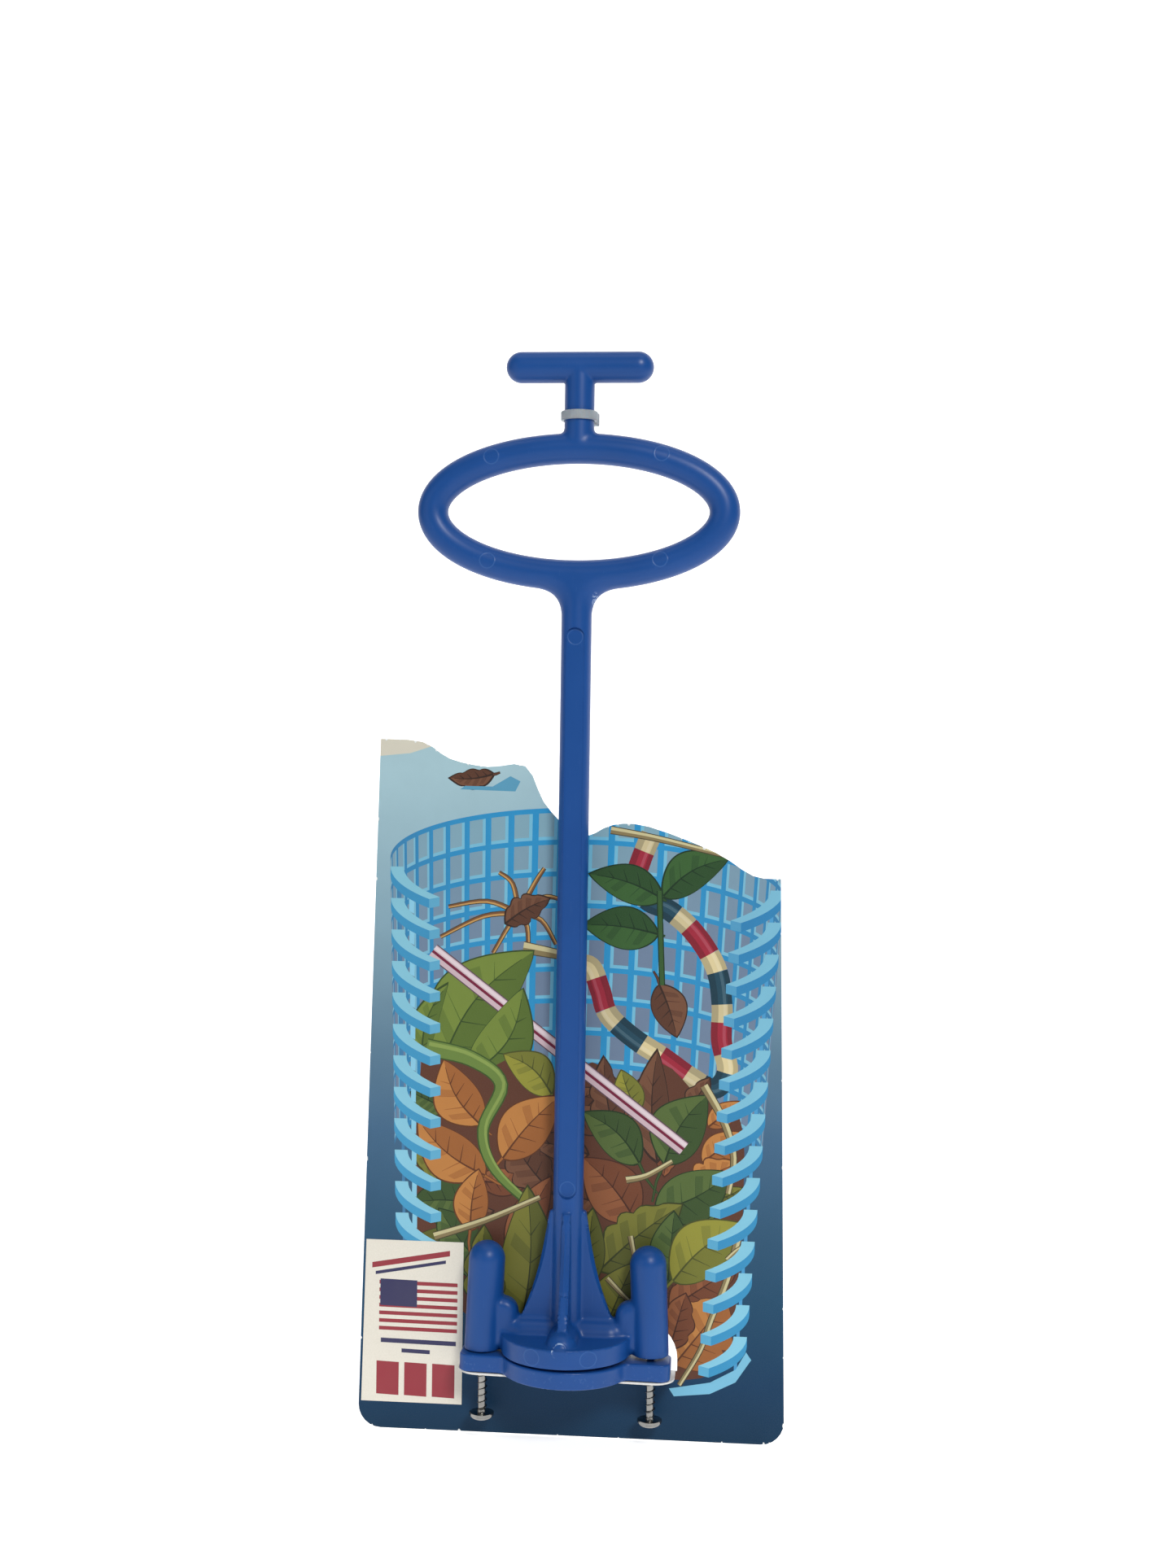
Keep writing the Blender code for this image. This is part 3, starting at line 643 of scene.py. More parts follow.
nylon_finish = Finish("natural nylon", IOR=1.53, Transmission_Weight=0.45,
                      Subsurface_Weight=0.25, Subsurface_Scale=0.002)
haze = nylon_finish.noise(500.0, 3.0)
nylon_finish.set("Base Color", nylon_finish.mix(haze, srgb(168, 180, 190), srgb(204, 212, 218)))
nylon_finish.set("Roughness", 0.22 + 0.18 * haze)
nylon_finish.set("Normal", nylon_finish.bump(nylon_finish.noise(1800.0, 3.0), 0.02, 0.7))

tie = toothed_band("nylon_tie", *BAND_ENDS, teeth=54)
lock = rounded_box("lock", (4.5, 4.1, 5.0), (BAND_INNER + 2.3, 0.0, 0.0), 0.45)
lock.rotation_euler.z = LOCK_TURN
slot = rounded_box("slot", (1.5, 9.0, 3.9), (BAND_INNER + 2.35, 0.0, 0.0), 0.2)
slot.rotation_euler.z = LOCK_TURN
bpy.context.view_layer.update()
cut(lock, slot)
tail = rounded_box("tail", (1.1, 8.6, 3.1), (BAND_INNER + 2.35, 2.9, 0.0), 0.2)
tail.rotation_euler.z = LOCK_TURN
ribs = []
for i in range(7):
    rib = rounded_box("rib", (0.28, 0.32, 2.3), (BAND_INNER + 2.97, 3.2 + 0.62 * i, 0.0), 0.06)
    rib.rotation_euler.z = LOCK_TURN
    ribs.append(rib)
join(tie, lock, tail, *ribs)
tie.location.z = TIE_HEIGHT * MM
shade(tie, nylon_finish.material, 30.0)
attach(tie, "tie")
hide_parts("cable_tie")

# ---------------------------------------------------------------------------
# Display card
# Solid white board, printed on its front with a drawing of a full skimmer basket in water
# and varnished, then die-cut. Its cut edges are white and its back is bare.
# ---------------------------------------------------------------------------
BOARD_THICKNESS = 0.7
CARD_FRONT = 7.5
prints = []


def ink(outline, colour):
    """Lay one flat ink over everything printed so far. Colour None leaves the ground."""
    prints.append((outline, colour))


def smooth_line(points, count):
    """A smooth curve through the points, with `count` steps between neighbours."""
    result = []
    padded = [points[0], *points, points[-1]]
    for i in range(1, len(padded) - 2):
        before, a, b, after = (Vector(p) for p in padded[i - 1:i + 3])
        for step in range(count):
            t = step / count
            place = 0.5 * ((2 * a) + (b - before) * t + (2 * before - 5 * a + 4 * b - after) * t ** 2
                           + (3 * a - before - 3 * b + after) * t ** 3)
            result.append(tuple(place))
    return result + [tuple(points[-1])]


def sides_of(line, widths):
    """The two edges of a stroke along a line, with a width at each of its points."""
    left = []
    right = []
    for i, point in enumerate(line):
        ahead = Vector(line[min(i + 1, len(line) - 1)]) - Vector(line[max(i - 1, 0)])
        ahead.normalize()
        off = Vector((-ahead.y, ahead.x)) * widths[i] / 2
        left.append(tuple(Vector(point) + off))
        right.append(tuple(Vector(point) - off))
    return left, right


def stroke(line, widths, colour):
    left, right = sides_of(line, widths)
    ink(left + right[::-1], colour)


def tinted(colour, share):
    """Towards white for a positive share, towards black for a negative one."""
    goal = 255 if share > 0 else 0
    return tuple(c + (goal - c) * abs(share) for c in colour)


def blended(first, second, share):
    return tuple(a + (b - a) * share for a, b in zip(first, second))


RIM_LEVEL = 190
HOOP_SPACING = 12.5
WALL_DEPTH = 21


def wall_middle(level):
    return 0.8 + 3.7 * level / RIM_LEVEL


def wall_half(level):
    return 69.0 + 9.0 * level / RIM_LEVEL


def far_wall(level, turn):
    """A point on the far side of the basket; turn is 0 at its middle, -90 at its left."""
    angle = math.radians(turn)
    across = wall_half(level) * math.sin(angle)
    return (wall_middle(level) + across, level + WALL_DEPTH * math.cos(angle))


def near_wall(level, turn, side, inset=0.0):
    """A point on the near side; turn is 0 at the outermost point of that side."""
    angle = math.radians(turn)
    across = (wall_half(level) - inset) * math.cos(angle)
    fall = (WALL_DEPTH - inset * 0.28) * math.sin(angle)
    return (wall_middle(level) + side * across, level - fall)


def draw_far_wall():
    """The lattice of the far wall: each cell's frame, its lit edge and its hollow."""
    step = 7.5
    rim = 0.95
    for row in range(9):
        level = RIM_LEVEL - HOOP_SPACING * row
        for column in range(-12, 12):
            low = column * step
            high = low + step
            edge = abs(low + step / 2) / 90
            frame_ink = blended((46, 148, 203), (66, 122, 166), edge ** 2)
            lit = blended((116, 190, 220), (128, 184, 206), edge)
            hollow = blended((132, 172, 188), (112, 132, 158), min(1.0, row / 4 + edge * 0.3))
            first = low + rim + (0.0 if column < 0 else 1.0)
            last = high - rim - (1.0 if column < 0 else 0.0)
            for start, end, above, below, colour in ((low, high, 1.0, -1.0, frame_ink),
                                                     (low + rim, high - rim, -rim, rim, lit),
                                                     (first, last, -rim, 2.3, hollow)):
                turns = [start + (end - start) * i / 3 for i in range(4)]
                top = [far_wall(level + above, t) for t in turns]
                ink(top + [far_wall(level - HOOP_SPACING + below, t) for t in reversed(turns)], colour)


def draw_rib(level, side, dark, light, reach):
    """One hoop of the near wall, cut open: its lit top, its outer face and its cut end."""
    drop = 3.6
    turns = [reach * i / 10 for i in range(11)]
    outer = [near_wall(level, t, side) for t in turns]
    inner = [near_wall(level, t, side, 5.2) for t in turns]
    ink(outer + inner[::-1], light)
    ink(outer + [(u, v - drop) for u, v in reversed(outer)], dark)
    end = [outer[-1], (outer[-1][0], outer[-1][1] - drop)]
    end += [(inner[-1][0], inner[-1][1] - drop), inner[-1]]
    ink(end, blended(dark, light, 0.45))


def draw_post_of_wall(level, side, turn, drop, colour):
    a = near_wall(level, turn, side, 1.0)
    b = near_wall(level, turn + 3.5, side, 1.0)
    ink([a, b, (b[0], b[1] - drop), (a[0], a[1] - drop)], colour)


LEAF_TONES = {
    "orange": ((192, 130, 70), (160, 100, 54), (98, 58, 36)),
    "rust": ((148, 92, 60), (118, 70, 48), (74, 44, 34)),
    "brown": ((118, 80, 60), (92, 60, 46), (56, 40, 34)),
    "olive": ((124, 124, 54), (94, 98, 44), (58, 64, 34)),
    "lemon": ((150, 148, 60), (120, 122, 52), (78, 82, 40)),
    "green": ((88, 108, 58), (62, 84, 46), (40, 58, 34)),
    "deep": ((60, 98, 52), (46, 78, 44), (30, 54, 34)),
    "moss": ((118, 138, 62), (90, 112, 50), (56, 76, 38)),
}


def leaf(stem, tip, width, tone, bend=0.0, lobes=0, stalk=0.0):
    """A leaf from its stem to its tip: a dark line round it, two tones, a midrib, veins."""
    light, shade_tone, line = LEAF_TONES[tone]
    stem = Vector(stem)
    along = Vector(tip) - stem
    across = Vector((-along.y, along.x)).normalized()
    count = 22
    spine = []
    left = []
    right = []
    for i in range(count + 1):
        t = i / count
        point = stem + along * t + across * (bend * along.length * math.sin(math.pi * t))
        half = width / 2 * math.sin(math.pi * t ** 0.82) ** 0.85 if 0 < t < 1 else 0.02
        if lobes:
            half *= 0.78 + 0.30 * abs(math.sin(math.pi * lobes * t)) ** 0.7
        spine.append(point)
        left.append(tuple(point + across * half))
        right.append(tuple(point - across * half * 0.92))
    grow = 1 + 0.9 / width
    middle = stem + along / 2
    rim = [tuple(middle + (Vector(p) - middle) * grow) for p in left + right[::-1]]
    ink(rim, line)
    if stalk > 0.0:
        way = (spine[0] - spine[2]).normalized()
        root = [tuple(spine[1]), tuple(spine[0] + way * stalk * 0.5 + across * stalk * 0.06),
                tuple(spine[0] + way * stalk)]
        stroke(root, (1.5, 1.2, 0.9), line)
        stroke(root, (0.9, 0.7, 0.4), shade_tone)
    ink(left + right[::-1], light)
    ink([tuple(p) for p in spine] + right[::-1], shade_tone)
    vein = [tuple(p) for p in spine[:-2]]
    for i in range(3, count - 4, 4):
        reach = i + 3
        for edge, tint in ((left, shade_tone), (right, line)):
            goal = Vector(spine[i]).lerp(Vector(edge[reach]), 0.72)
            stroke([tuple(spine[i]), tuple(goal)], (0.5, 0.15), tint)
        if lobes or i % 8 == 3:
            patch = [tuple(spine[i]), tuple(Vector(spine[i]).lerp(Vector(left[reach]), 0.8)),
                     tuple(Vector(spine[i + 2]).lerp(Vector(left[min(reach + 2, count)]), 0.75)),
                     tuple(spine[i + 2])]
            ink(patch, blended(light, shade_tone, 0.55))
    stroke(vein, [0.8 - 0.6 * i / len(vein) for i in range(len(vein))], line)


def banded_rope(points, width, bands, length):
    """A rope in coloured bands with slanting ends, rounded by a lighter strip along it."""
    line = smooth_line(points, 10)
    travelled = 0.0
    start = 0
    which = 0
    for i in range(1, len(line)):
        travelled += (Vector(line[i]) - Vector(line[i - 1])).length
        if travelled >= length[which % len(length)] or i == len(line) - 1:
            piece = line[start:i + 1]
            colour = bands[which % len(bands)]
            for left, right, tint in ((1.0, 1.0, -0.18), (0.55, 0.35, 0.0), (0.42, -0.12, 0.14)):
                upper, _ = sides_of(piece, [width * left] * len(piece))
                _, lower = sides_of(piece, [width * right] * len(piece))
                ink(upper + lower[::-1], tinted(colour, tint))
            travelled = 0.0
            start = i
            which += 1


def twig(points, width, pale=(205, 196, 150), shade_tone=(140, 125, 88)):
    line = smooth_line(points, 5)
    count = len(line)
    taper = [width * (1.0 - 0.45 * i / count) for i in range(count)]
    stroke(line, [w + 0.7 for w in taper], (74, 66, 48))
    stroke(line, taper, shade_tone)
    upper, _ = sides_of(line, taper)
    ink(upper + [tuple(p) for p in reversed(line)], pale)


def straw(start, end):
    """A striped drinking straw: its dark outline, its body, its shine and a stripe."""
    off = Vector((end[1] - start[1], start[0] - end[0])).normalized()
    for shift, width, colour in ((0.0, 6.1, (96, 72, 86)), (0.0, 5.2, (206, 182, 190)),
                                 (-1.5, 1.4, (228, 212, 218)), (0.2, 1.1, (118, 34, 62))):
        line = [tuple(Vector(point) + off * shift) for point in (start, end)]
        stroke(line, (width, width), colour)


def draw_basket():
    ink([(-100, 229), (-66, 232.5), (-54, 236.5), (-54, 260), (-100, 260)], (214, 210, 194))
    leaf((-33, 224.6), (-50, 223), 7.5, "brown", 0.06, 3, 3.0)
    ink([(-46, 218.5), (-24, 218), (-22, 222), (-26, 224), (-33, 219.8), (-44, 219.9)], (92, 158, 190))
    draw_far_wall()

    for root, tip in (((-22, 170), (-6, 176)), ((-22, 170), (-50, 172)), ((-22, 170), (-53, 160)),
                      ((-22, 170), (-30, 186)), ((-22, 170), (-12, 188)), ((-22, 170), (-7, 158)),
                      ((-22, 170), (-18, 152)), ((-22, 170), (-32, 154))):
        middle = (Vector(root) + Vector(tip)) / 2 + Vector((1.5, 3.5))
        twig([root, tuple(middle), tip], 1.7, (196, 152, 92), (124, 84, 56))
    leaf((-27, 166), (-10, 176), 11, "brown", 0.05, 4)
    twig([(-20, 156.5), (-8, 154.5), (4, 152)], 4.4)

    banded_rope([(30, 202), (26, 192), (24, 183), (29, 176), (38, 172), (48, 163), (56, 150),
                 (58.5, 136), (58.5, 122), (61, 110), (56, 103), (47, 107), (36, 114.5), (24, 122),
                 (14, 131), (10.5, 141), (6, 150), (-4, 148)],
                8.2, ((206, 192, 150), (160, 44, 62), (222, 206, 158), (38, 74, 92)),
                (6.5, 12.0, 7.5, 12.5))
    leaf((34, 143), (41, 123), 14, "brown", 0.03, 0, 6.0)
    leaf((34.5, 177), (6, 186), 15, "deep", -0.06, 0, 2.0)
    leaf((35, 178), (60, 193), 16, "deep", 0.10, 0, 2.0)
    leaf((33, 163), (4, 166), 17, "deep", -0.04, 0, 3.0)
    stem = smooth_line([(33.5, 180), (34.0, 165), (35, 143)], 4)
    stroke(stem, [2.4] * 9, (30, 56, 34))
    stroke(stem, [1.5] * 9, (58, 92, 50))
    twig([(14, 203.5), (32, 200.5), (58, 194.5)], 2.6)

    leaf((-52, 109), (-16, 155), 31, "moss", 0.10, 0)
    leaf((-60, 112), (-50, 141), 10, "moss", 0.10, 0)
    straw((-56.0, 154.5), (0.0, 112.4))
    leaf((-40, 106), (-20, 140), 21, "moss", -0.14, 0)

    heap = [(-60, 112), (-50, 118), (-36, 108), (-20, 114), (-6, 104), (8, 112), (22, 104), (36, 112),
            (50, 100), (66, 92), (68, 60), (66, 20), (60, -6), (40, -12), (0, -6), (-40, 10), (-62, 40)]
    ink(smooth_line(heap + heap[:1], 4)[:-1], (96, 60, 46))
    patches = random.Random(7)
    for i in range(34):
        across = patches.uniform(-54, 60)
        up = patches.uniform(-2, 98)
        turn = patches.uniform(0, math.tau)
        long = patches.uniform(12, 24)
        goal = (across + long * math.cos(turn), up + long * math.sin(turn) * 0.8)
        tone = patches.choice(("brown", "rust", "brown", "olive", "rust", "green"))
        leaf((across, up), goal, long * 0.5, tone, patches.uniform(-0.12, 0.12),
             patches.choice((0, 0, 4)))

    leaf((18, 82), (12.5, 114), 13, "brown", 0.04, 4)
    leaf((34, 74), (33.5, 117), 15, "brown", 0.05, 0)
    leaf((45, 92), (54, 107), 9, "brown", 0.0, 3)
    leaf((26, 93), (19.5, 109), 12, "lemon", 0.03)
    leaf((-8, 99), (-27, 114), 15, "lemon", -0.12, 0, 3.0)
    leaf((-50, 92), (-64, 98), 11, "green", 0.0, 4)
    leaf((-7, 60), (-25, 84), 17, "brown", 0.05, 4)
    leaf((-41, 70), (-63, 75), 16, "olive", 0.1, 4)
    leaf((-36, 54), (-63, 54), 20, "green", -0.06, 4)
    leaf((-30, 26), (-52, 52), 20, "green", 0.04, 4)
    leaf((-24, 36), (-8, 66), 14, "rust", 0.0, 0)
    leaf((26, 50), (5, 74), 22, "rust", -0.05, 0)
    leaf((52, 74), (67, 86), 12, "orange", 0.0, 0)
    leaf((48, 60), (66, 74), 14, "orange", 0.1, 4)
    leaf((54, 88), (66, 98), 9, "orange", 0.0)
    leaf((40, 16), (66, 34), 17, "rust", 0.0, 4)
    leaf((-36, 86), (-51, 111), 19, "orange", 0.10, 0, 6.0)
    leaf((-34, 66), (-61, 87), 20, "orange", 0.08, 0, 12.0)
    leaf((-27, 73), (-5, 98), 20, "orange", 0.04, 0, 7.0)
    leaf((-39.5, 44), (-36.5, 68), 14, "orange", 0.04, 0, 10.0)
    stalk = smooth_line([(-58, 116), (-40, 112), (-28, 102), (-35, 84), (-30, 68), (-12, 52)], 6)
    shine = smooth_line([(-57, 117.5), (-40, 113.5), (-27, 103), (-34, 85), (-29, 69), (-12, 53)], 6)
    for line, width, taper, colour in ((stalk, 7.4, 0.14, (62, 86, 42)),
                                       (stalk, 6.4, 0.15, (108, 134, 66)),
                                       (shine, 1.6, 0.03, (138, 160, 84))):
        stroke(line, [width - taper * i for i in range(31)], colour)
    leaf((27, 73), (5, 92), 17, "green", -0.10, 0, 14.0)
    leaf((37, 73), (53, 100), 22, "green", 0.08, 0, 16.0)
    straw((-4.0, 115.4), (44.5, 79.0))
    leaf((34, 54), (63, 70), 21, "green", -0.06, 0, 4.0)
    leaf((12, 30), (44, 57), 20, "olive", 0.03, 5)
    leaf((8, 24), (9, 54), 13, "olive", 0.02, 0)
    leaf((39, 27), (41, 54), 16, "green", 0.0, 0, 10.0)
    leaf((41, 27), (69, 50), 22, "lemon", 0.08, 0, 8.0)
    leaf((-20, 2), (-17, 62), 24, "olive", -0.05, 0)
    leaf((-30, 8), (-34, 46), 16, "olive", 0.05, 4)
    leaf((14, 6), (25, 33), 20, "olive", 0.0, 0)
    leaf((0, 4), (4, 40), 16, "olive", 0.0, 0)
    leaf((42, -6), (62, 20), 30, "orange", 0.0, 4)
    leaf((40, 0), (46, 22), 14, "rust", 0.0, 3)
    leaf((30, 2), (38, 16), 12, "orange", 0.0, 0)
    twig([(-54, 41), (-34, 48), (-12, 58)], 2.8)
    twig([(15, 27), (22, 20), (31, 12)], 1.8)
    twig([(24, 44), (26, 34), (28, 22)], 1.8)
    twig([(66, 44), (62, 28), (56, 12), (52, 0), (44, -14)], 2.4)
    twig([(62, 36), (66, 40), (71, 43)], 1.6)
    twig([(22, 66), (30, 68), (40, 74)], 2.4)
    twig([(52, 104), (60, 90), (64, 76), (62, 62)], 3.0)

    for row in range(13):
        level = 187.5 - HOOP_SPACING * row
        share = row / 12
        draw_post_of_wall(level, -1, 14, 12.5, (70, 128, 172))
        draw_post_of_wall(level, -1, 24, 9.0, (140, 204, 230))
        draw_rib(level, -1, blended((62, 146, 192), (74, 160, 204), share),
                 blended((134, 196, 216), (140, 204, 228), share), 37)
    for row in range(15):
        level = 181.0 - HOOP_SPACING * row
        share = row / 14
        draw_post_of_wall(level, 1, 16, 10.0, (78, 156, 206))
        draw_rib(level, 1, blended((52, 132, 184), (62, 152, 200), share),
                 blended((122, 186, 212), (138, 206, 230), share), 38)
    ink([(40, -15.5), (56, -12.5), (66, -7), (70, 0), (72, -3), (66, -12), (56, -17), (42, -18.5)],
        (124, 192, 222))


def outlines_of(node, front):
    """The outlines in X and Z, in mm, of the flat face of a CAD node at a value of Y."""
    shape = bmesh.new()
    shape.from_mesh(nodes[node].data)
    bmesh.ops.remove_doubles(shape, verts=shape.verts, dist=1e-6)
    flat = [f for f in shape.faces if all(abs(v.co.y - front * MM) < 2e-5 for v in f.verts)]
    inside = set(flat)
    follow = {}
    for face in flat:
        for loop in face.loops:
            if not any(other in inside and other is not face for other in loop.edge.link_faces):
                follow[loop.vert] = loop.link_loop_next.vert
    outlines = []
    while follow:
        start, ahead = follow.popitem()
        points = [start.co]
        while ahead is not start:
            points.append(ahead.co)
            ahead = follow.pop(ahead)
        outlines.append([(p.x / MM, p.z / MM) for p in points])
    shape.free()
    return sorted(outlines, key=lambda line: max(u for u, _ in line), reverse=True)


def printed_board(name, outlines, front, thickness, shapes):
    """A die-cut sheet whose front is divided among the inks laid on it.

    The first outline is the sheet and the others are holes in it. The inks become the
    corner colours of the front faces, with 0 in alpha where the ground shows.
    """
    sheet_points = []
    loops = []
    for outline in outlines + [shape for shape, _ in shapes]:
        start = len(sheet_points)
        turn = sum(a[0] * b[1] - b[0] * a[1] for a, b in zip(outline, outline[1:] + outline[:1]))
        sheet_points += [Vector(p) for p in (outline if turn > 0 else outline[::-1])]
        loops.append(list(range(start, start + len(outline))))
    flat, _, faces, _, _, covers = delaunay_2d_cdt(sheet_points, [], loops, 1, 1e-4, True)
    holes = len(outlines) - 1
    kept = []
    colours = []
    for corners, over in zip(faces, covers):
        if 0 in over and not any(1 <= index <= holes for index in over):
            kept.append(corners)
            top = max(over)
            colours.append(None if top <= holes else shapes[top - holes - 1][1])
    shape = bmesh.new()
    layer = shape.loops.layers.float_color.new("ink")
    fronts = [shape.verts.new((p.x * MM, front * MM, p.y * MM)) for p in flat]
    backs = [shape.verts.new((p.x * MM, (front + thickness) * MM, p.y * MM)) for p in flat]
    for corners, colour in zip(kept, colours):
        face = shape.faces.new([fronts[i] for i in corners])
        value = (0.0, 0.0, 0.0, 0.0) if colour is None else (*srgb(*colour), 1.0)
        for loop in face.loops:
            loop[layer] = value
        back = shape.faces.new([backs[i] for i in reversed(corners)])
        back.material_index = 1
    partner = dict(zip(fronts, backs))
    for edge in [e for e in shape.edges if e.is_boundary and e.verts[0] in partner]:
        loop = edge.link_loops[0]
        a, b = loop.vert, loop.link_loop_next.vert
        side = shape.faces.new((b, a, partner[a], partner[b]))
        side.material_index = 1
    bmesh.ops.delete(shape, geom=[v for v in shape.verts if not v.link_faces], context="VERTS")
    bmesh.ops.recalc_face_normals(shape, faces=shape.faces)
    return piece_from(name, shape)


print_finish = Finish("varnished print", IOR=1.5, Specular_IOR_Level=0.15)
up = print_finish.place()[2] / 280.0 + 0.14
ground = [(0.0, (10, 50, 78)), (0.09, (16, 58, 92)), (0.206, (32, 75, 106)), (0.322, (51, 89, 119)),
          (0.436, (70, 106, 138)), (0.554, (94, 127, 150)), (0.75, (138, 172, 188)),
          (0.947, (168, 201, 211))]
stops = [(place, srgb(*colour)) for place, colour in ground]
water = print_finish.node("ValToRGB", {"stops": stops}, {"Fac": up})
inks = print_finish.node("Attribute", {"attribute_name": "ink"})
cover = print_finish.node("Attribute", {"attribute_name": "ink"}, output=3)
picture = print_finish.mix(cover, water, inks)
dots = print_finish.noise(3200.0, 2.0)
mottle = print_finish.noise(90.0, 3.0)
picture = print_finish.mix(dots.step(0.35, 0.75) * 0.02, picture, srgb(214, 220, 218))
picture = print_finish.mix(mottle * 0.10, picture, srgb(20, 30, 40))
print_finish.set("Base Color", picture)
print_finish.set("Roughness", 0.36 + 0.12 * mottle)
print_finish.set("Normal", print_finish.bump(dots * 0.4 + mottle, 0.03, 0.5))

board_finish = Finish("white board")
fibre = board_finish.noise(1600.0, 4.0, (1.0, 1.0, 0.4))
board_finish.set("Base Color", board_finish.mix(fibre, srgb(214, 213, 208), srgb(238, 237, 233)))
board_finish.set("Roughness", 0.72 + 0.2 * fibre)
board_finish.set("Normal", board_finish.bump(fibre, 0.05, 0.8))

draw_basket()
card_outlines = outlines_of("display_card", CARD_FRONT)
nicks = random.Random(3)
LONG_EDGE = 60.0
edge_line = [Vector(point) for point in card_outlines[0]]
for a, b in zip(edge_line, edge_line[1:] + edge_line[:1]):
    is_long = (b - a).length > LONG_EDGE
    for share in ((0.12, 0.21, 0.47, 0.63, 0.9) if is_long else (0.5,)):
        if nicks.random() < 0.4 or is_long:
            spot = a.lerp(b, share)
            size = nicks.uniform(0.25, 0.8)
            ink([(spot.x + size * math.cos(t) * nicks.uniform(0.5, 1.0),
                  spot.y + size * 1.6 * math.sin(t) * nicks.uniform(0.6, 1.0))
                 for t in (0.0, 0.9, 1.9, 2.8, 3.7, 4.7, 5.6)], (232, 236, 236))
card = printed_board("printed_card", card_outlines, CARD_FRONT, BOARD_THICKNESS, prints)
card.data.materials.append(print_finish.material)
card.data.materials.append(board_finish.material)
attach(card, "card")
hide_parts("display_card")

# ---------------------------------------------------------------------------
# Card flap
# The part of the card cut free on three sides and folded forward under the clamp plate,
# so that the two screws hold it. Its bare side faces up and its printed side down.
# ---------------------------------------------------------------------------
FLAP_GAP = 0.12
flap = add_piece("folded_flap", nodes["card_flap"].data.copy())
flap.data.materials.clear()
flap_shape = bmesh.new()
flap_shape.from_mesh(flap.data)
bmesh.ops.remove_doubles(flap_shape, verts=flap_shape.verts, dist=1e-6)
rear = max(v.co.y for v in flap_shape.verts)
for vert in flap_shape.verts:
    if vert.co.y > rear - 1e-5:
        vert.co.y = (CARD_FRONT - FLAP_GAP) * MM
bmesh.ops.recalc_face_normals(flap_shape, faces=flap_shape.faces)
for face in flap_shape.faces:
    face.material_index = 1 if face.normal.z < -0.9 else 0
flap_shape.to_mesh(flap.data)
flap_shape.free()
flap_ink = Finish("printed flap", IOR=1.5)
mottle = flap_ink.noise(90.0, 3.0)
crease = flap_ink.noise(900.0, 4.0).step(0.62, 0.7)
tone = flap_ink.mix(mottle, srgb(26, 60, 92), srgb(34, 72, 106))
flap_ink.set("Base Color", flap_ink.mix(crease * 0.12, tone, srgb(200, 206, 206)))
flap_ink.set("Roughness", 0.36 + 0.12 * mottle)
flap.data.materials.append(board_finish.material)
flap.data.materials.append(flap_ink.material)
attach(flap, "clamp")
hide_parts("card_flap")

# ---------------------------------------------------------------------------
# Sticker
# A small paper label glued over the card's lower left corner, printed in red and blue on
# cream. Plain bars and blocks stand where a maker would set words.
# ---------------------------------------------------------------------------
STICKER_THICKNESS = 0.12
STICKER_LIFT = 0.02
CAD_STICKER_FACE = CARD_FRONT - 0.45
sticker_outline = outlines_of("sticker", CAD_STICKER_FACE)[:1]
left, right = (end(u for u, _ in sticker_outline[0]) for end in (min, max))
bottom, top = (end(v for _, v in sticker_outline[0]) for end in (min, max))
label = []
RED = (150, 44, 58)
NAVY = (44, 44, 88)


def bar(left_end, right_end, low, high, colour, slant=0.0):
    label.append(([(left_end, low), (right_end, low + slant), (right_end, high + slant),
                   (left_end, high)], colour))


for i in range(7):
    low = bottom + 28.6 + 3.05 * i
    bar(left + 6.8, right - 2.2, low, low + 1.5, RED, -0.3)
bar(left + 7.2, left + 22.0, bottom + 38.4, bottom + 49.0, NAVY, -0.3)
bar(left + 3.8, right - 5.4, bottom + 53.2, bottom + 55.4, RED, 5.6)
bar(left + 5.2, right - 7.0, bottom + 50.6, bottom + 51.9, NAVY, 5.2)
bar(left + 7.6, right - 2.6, bottom + 23.6, bottom + 25.4, NAVY, -0.5)
bar(left + 16.0, right - 13.0, bottom + 19.8, bottom + 21.4, NAVY, -0.3)
for i in range(3):
    start = left + 6.0 + 11.2 * i
    bar(start, start + 9.0, bottom + 3.0 - 0.2 * i, bottom + 16.2 - 0.2 * i, RED, -0.3)

sticker_face = CARD_FRONT - STICKER_THICKNESS - STICKER_LIFT
sticker = printed_board("paper_sticker", sticker_outline, sticker_face, STICKER_THICKNESS, label)
sticker_finish = Finish("printed paper", Specular_IOR_Level=0.4)
inks = sticker_finish.node("Attribute", {"attribute_name": "ink"})
cover = sticker_finish.node("Attribute", {"attribute_name": "ink"}, output=3)
pulp = sticker_finish.noise(1800.0, 4.0)
soft = sticker_finish.noise(60.0, 2.0)
paper = sticker_finish.mix(pulp, srgb(222, 217, 203), srgb(238, 233, 221))
label_print = sticker_finish.mix(cover, paper, inks)
sticker_finish.set("Base Color", sticker_finish.mix(soft * 0.06, label_print, srgb(180, 170, 150)))
sticker_finish.set("Roughness", 0.46 + 0.16 * pulp)
sticker_finish.set("Normal", sticker_finish.bump(pulp, 0.02, 0.6))
sticker.data.materials.append(sticker_finish.material)
sticker.data.materials.append(board_finish.material)
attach(sticker, "card")
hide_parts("sticker")
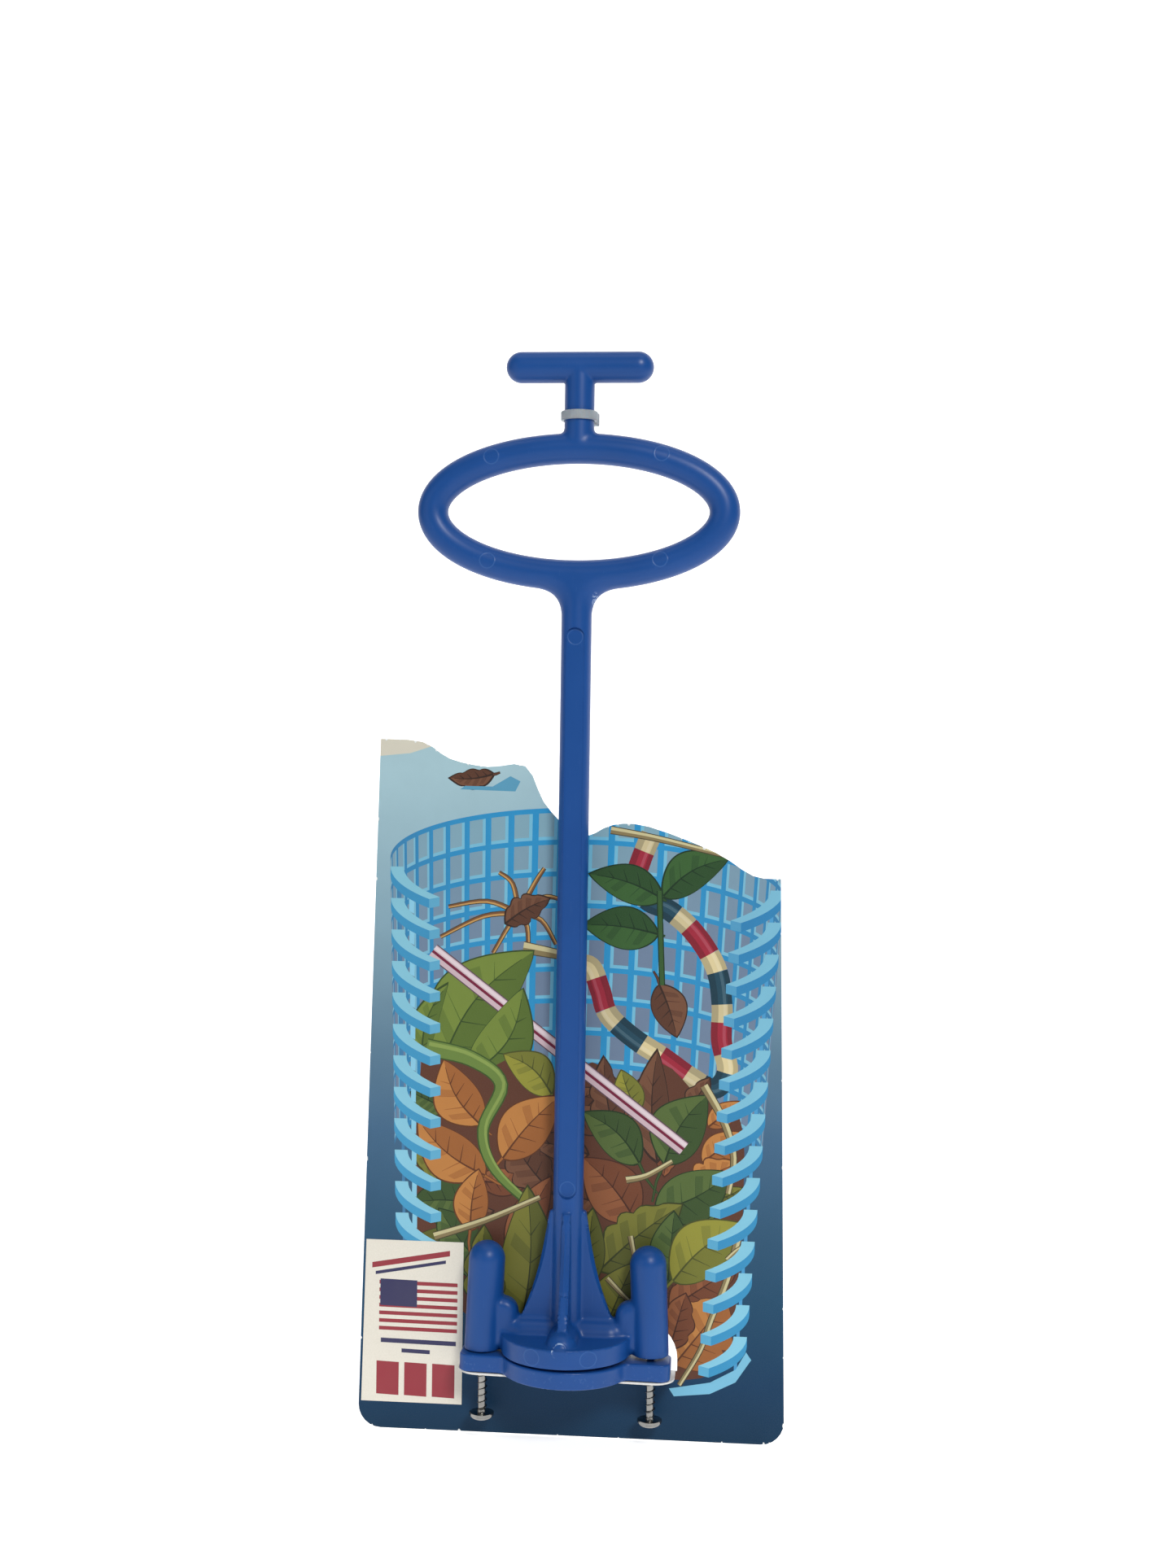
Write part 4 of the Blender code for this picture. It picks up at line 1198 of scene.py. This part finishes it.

# ---------------------------------------------------------------------------
# Studio
# A sweep of paper that glows, a painted light that is brighter behind than in front, a soft
# light high at the front right, a weaker one at the left, and a camera a little to the right of the
# shaft.
# ---------------------------------------------------------------------------
sweep_line = [(-2.6, 0.0), (0.55, 0.0)]
sweep_line += [(0.55 + 0.35 * math.sin(math.radians(a)), 0.35 - 0.35 * math.cos(math.radians(a)))
               for a in range(6, 91, 6)] + [(0.9, 2.4)]
sweep_shape = bmesh.new()
sweep_rows = [[sweep_shape.verts.new((x, y, z + cad_box[0][2] - 0.0005)) for x in (-2.4, 2.4)]
              for y, z in sweep_line]
for low, high in zip(sweep_rows, sweep_rows[1:]):
    sweep_shape.faces.new((low[0], low[1], high[1], high[0]))
sweep = piece_from("paper_sweep", sweep_shape)
# Painted light: the paper glows by its own emission, white behind and dimmer towards the front, and so
# lights the piece like a lamp.
glowing_sweep_finish = Finish("glowing pale paper", Base_Color=(0.8, 0.8, 0.8), Roughness=0.9,
                      Emission_Strength=0.68)
near = glowing_sweep_finish.place()[1].step(-115.0, -300.0)
glowing_sweep_finish.set("Emission Color", glowing_sweep_finish.mix(near, (1.0, 1.0, 1.0), (0.25, 0.25, 0.25)))
shade(sweep, glowing_sweep_finish.material, 60.0)


def soft_light(name, place, goal, size, power, tint):
    lamp = bpy.data.lights.new(name, "AREA")
    lamp.shape = "RECTANGLE"
    lamp.size, lamp.size_y = size
    lamp.energy = power
    lamp.color = tint
    obj = bpy.data.objects.new(name, lamp)
    obj.location = place
    obj.rotation_euler = (Vector(goal) - Vector(place)).to_track_quat("-Z", "Y").to_euler()
    bpy.context.scene.collection.objects.link(obj)


soft_light("key", (0.55, -1.15, 1.05), (0.0, 0.0, 0.15), (0.32, 0.32), 13.0, (1.0, 0.98, 0.95))
soft_light("fill", (-1.3, -1.2, 0.6), (0.0, 0.0, 0.15), (1.2, 1.2), 3.2, (0.93, 0.96, 1.0))
soft_light("backdrop", (0.0, -0.2, 2.2), (0.0, 0.75, 0.3), (2.2, 0.8), 7.0, (1.0, 1.0, 1.0))

world = bpy.data.worlds.new("soft room")
world.use_nodes = True
background = world.node_tree.nodes["Background"]
background.inputs["Color"].default_value = (0.93, 0.96, 1.0, 1.0)
background.inputs["Strength"].default_value = 0.16
bpy.context.scene.world = world
bpy.context.scene.view_settings.view_transform = "Standard"

DISTANCE = 0.7565
SIDEWAYS = math.radians(5.61)
lens = bpy.data.cameras.new("camera")
lens.sensor_width = 36.0
lens.lens = 44.65
lens.clip_start = 0.02
camera = bpy.data.objects.new("camera", lens)
bpy.context.scene.collection.objects.link(camera)
camera_place = Vector((DISTANCE * math.sin(SIDEWAYS), -DISTANCE * math.cos(SIDEWAYS), 0.2321))
camera.matrix_world = (Matrix.Translation(camera_place)
                       @ Matrix.Rotation(SIDEWAYS - math.radians(0.406), 4, "Z")
                       @ Matrix.Rotation(math.radians(90 - 0.804), 4, "X")
                       @ Matrix.Rotation(math.radians(0.822), 4, "Z"))
bpy.context.scene.camera = camera
